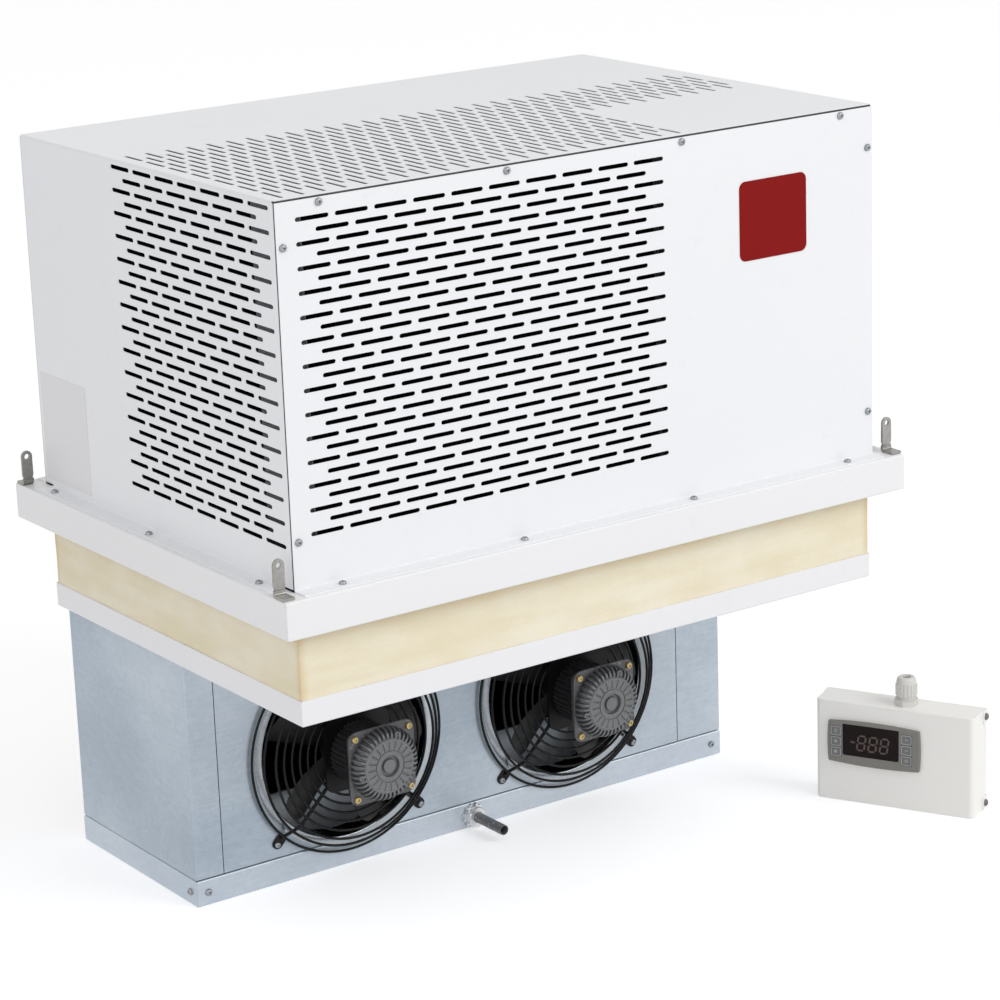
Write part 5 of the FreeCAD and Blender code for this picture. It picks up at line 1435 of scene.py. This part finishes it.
piece("box_cover", moved(cover_form(), stand), box_paint,
      stands_for="control_box_cover")
piece("box_base", moved(base_form(), stand), box_paint, stands_for="control_box_base",
      ease=0.0003)
piece("fascia", moved(fascia_form(), stand), fascia_grey, stands_for="control_fascia",
      sharp=30)
piece("window", moved(window_form(), stand), window_dark, stands_for="control_display",
      ease=0.0002)
piece("digits", moved(digits_form(), stand), digit_brown, turn=False)
for name, column, row in KEYS:
    x, z = key_corner(column, row)
    body = name + "_key"
    piece("cap_" + name, moved(cap_form(x, z), stand), key_grey, body=body,
          stands_for="key_" + name)
    signs = sign_form(name, x + KEY_WIDTH / 2, z + KEY_HEIGHT / 2)
    piece("sign_" + name, moved(signs, stand), sign_light, body=body, turn=False)
piece("box_screws", moved(heads_of("control_screws", stand.inverted()), stand), dark_screw,
      stands_for="control_screws")
gland_base = stand @ Vector((CONTROL_LEFT + GLAND_ASIDE, CONTROL_DEPTH / 2, CONTROL_HEIGHT))
box_gland = gland_form(gland_base, (0, 0, 1), across=0.024, bore=0.005, hexagon=0.007, neck=0.004,
                       cap=0.014, dome=0.008, foot=0.0078)
piece("box_gland", box_gland, gland_grey, stands_for="control_gland", sharp=32)
low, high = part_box("mains_gland")
outer = high.y - HOOD_BACK
back_gland = gland_form(((low.x + high.x) / 2, HOOD_BACK, (low.z + high.z) / 2), SPIN_AXIS,
                        across=high.z - low.z, bore=0.0065, hexagon=outer * 0.22, neck=outer * 0.12,
                        cap=outer * 0.42, dome=outer * 0.24, foot=HOOD_BACK - low.y)
piece("back_gland", back_gland, gland_grey, stands_for="mains_gland", sharp=32)


# Plain plates on the hood's front and left side

PLATE_THICKNESS = 0.0008
BADGE_PLACE, BADGE_WIDTH, BADGE_HEIGHT, BADGE_CORNER = (0.2355, HOOD_FRONT, 0.7095), 0.091, 0.085, 0.008
LABEL_PLACE, LABEL_WIDTH, LABEL_HEIGHT, LABEL_CORNER = (HOOD_LEFT, 0.0735, 0.4925), 0.101, 0.120, 0.002


def plate_form(middle, along, up, out, width, height, corner):
    """A thin plate with round corners and a softened face, standing proud by its thickness."""
    middle, along, up, out = (np.array(part, float) for part in (middle, along, up, out))
    rows = []
    for inset, rise in ((0, 0.0), (0, 0.55), (0.0002, 0.9), (0.0006, 1.0)):
        outline = round_corners(width - 2 * inset, height - 2 * inset, corner - inset, 8)
        rows.append(middle + outline[:, :1] * along + outline[:, 1:] * up + rise * PLATE_THICKNESS * out)
    return joined(grid(np.stack(rows), wrap_columns=True), polygon(rows[-1]), polygon(rows[0]))


badge = plate_form(BADGE_PLACE, (1, 0, 0), (0, 0, 1), OUTWARD, BADGE_WIDTH, BADGE_HEIGHT, BADGE_CORNER)
piece("badge_plate", badge, badge_red)
label = plate_form(LABEL_PLACE, (0, 1, 0), (0, 0, 1), (-1, 0, 0), LABEL_WIDTH, LABEL_HEIGHT, LABEL_CORNER)
piece("label_plate", label, label_white)


# Nodes that keep their own shape

dress(plated, "zinc_plated_steel", "defrost_heaters")
dress(copper, "copper", "filter_drier", "liquid_line", "discharge_line", "suction_line")
# Inner galvanised parts take the darker copy of the sheet, painted shade
dress(shaded_sheet, "galvanised_sheet", "condenser_end_plates", "condenser_shroud", "condenser_fan_bracket",
      "evaporator_end_plates")
dress(motor_black, "motor_steel", "condenser_fan_motor")
dress(blade_black, "black_plastic", "condenser_impeller")
dress(shell_black, "black_steel", "compressor", "receiver")
dress(rubber_black, "black_rubber", "compressor_feet")
dress(box_grey, "grey_plastic", "electrical_box", "controller_body")
dress(zinc_sheet, "galvanised_sheet", "casing_top")


# Studio

SKY_LIGHT, KEY_LIGHT, FILL_LIGHT, FLOOR_LIFT, FLOOR_HALF = 0.62, 118.0, 40.0, 0.42, 30.0
CAMERA_PLACE, LENS = (-1.9358, -2.9985, 1.4011), 117.6
# The camera's directions to the right, up and back
CAMERA_AXES = (0.8158, -0.5772, -0.0340), (0.1892, 0.2109, 0.9589), (-0.5464, -0.7888, 0.2813)


def floor_finish():
    """Pale floor. What the camera sees directly is lifted to white, and shadows stay."""
    paint = Paint("floor", Base_Color=colour(0.82, 0.82, 0.83), Roughness=0.8)
    seen = 0.0
    for kind in ("Is Camera Ray", "Is Glossy Ray", "Is Transmission Ray"):
        seen = paint.node("LightPath", {}, {}, kind).math("MAXIMUM", seen)
    lift = paint.mix(seen, colour(0, 0, 0), colour(FLOOR_LIFT, FLOOR_LIFT, FLOOR_LIFT))
    paint.set(Emission_Color=lift, Emission_Strength=1.0, Roughness=0.75 + 0.1 * paint.noise(60.0, 3.0))
    return paint.material


def studio():
    """A wide floor, a soft even sky and two large plain lamps."""
    mesh = bpy.data.meshes.new("floor")
    corners = [(FLOOR_HALF * a, FLOOR_HALF * b, 0) for a, b in ((-1, -1), (1, -1), (1, 1), (-1, 1))]
    mesh.from_pydata(corners, [], [range(4)])
    mesh.materials.append(floor_finish())
    floor = bpy.data.objects.new("floor", mesh)
    bpy.context.scene.collection.objects.link(floor)
    world = bpy.data.worlds.new("studio")
    bpy.context.scene.world = world
    world.use_nodes = True
    tree = world.node_tree
    sky = tree.nodes["Background"]
    path = tree.nodes.new("ShaderNodeLightPath")
    either = tree.nodes.new("ShaderNodeMath")
    either.operation = "MAXIMUM"
    tree.links.new(path.outputs["Is Camera Ray"], either.inputs[0])
    tree.links.new(path.outputs["Is Glossy Ray"], either.inputs[1])
    strength = tree.nodes.new("ShaderNodeMapRange")
    strength.inputs["To Min"].default_value = SKY_LIGHT
    strength.inputs["To Max"].default_value = 1.0
    tree.links.new(either.outputs[0], strength.inputs["Value"])
    tree.links.new(strength.outputs[0], sky.inputs["Strength"])
    sky.inputs["Color"].default_value = colour(1, 1, 1)
    lamp("key", (2.2, -4.6, 3.4), 3.0, KEY_LIGHT)
    lamp("fill", (-4.5, -2.0, 2.6), 3.5, FILL_LIGHT)


def lamp(name, place, size, power):
    """A large square lamp that faces the middle of the unit."""
    light = bpy.data.lights.new(name, "AREA")
    light.shape, light.size, light.energy = "SQUARE", size, power
    thing = bpy.data.objects.new(name, light)
    bpy.context.scene.collection.objects.link(thing)
    aim = Matrix.Translation(place)
    middle = (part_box("base_pan")[0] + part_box("base_pan")[1]) / 2
    way = (middle - aim.translation).normalized()
    thing.matrix_world = aim @ way.to_track_quat("-Z", "Y").to_matrix().to_4x4()


def camera():
    """The photograph's place, direction and lens."""
    lens = bpy.data.cameras.new("camera")
    lens.sensor_width, lens.lens = 36.0, LENS
    thing = bpy.data.objects.new("camera", lens)
    bpy.context.scene.collection.objects.link(thing)
    turn = Matrix(CAMERA_AXES).transposed()
    thing.matrix_world = Matrix.Translation(CAMERA_PLACE) @ turn.to_4x4()
    bpy.context.scene.camera = thing


studio()
camera()
bpy.context.scene.view_settings.view_transform = "Standard"
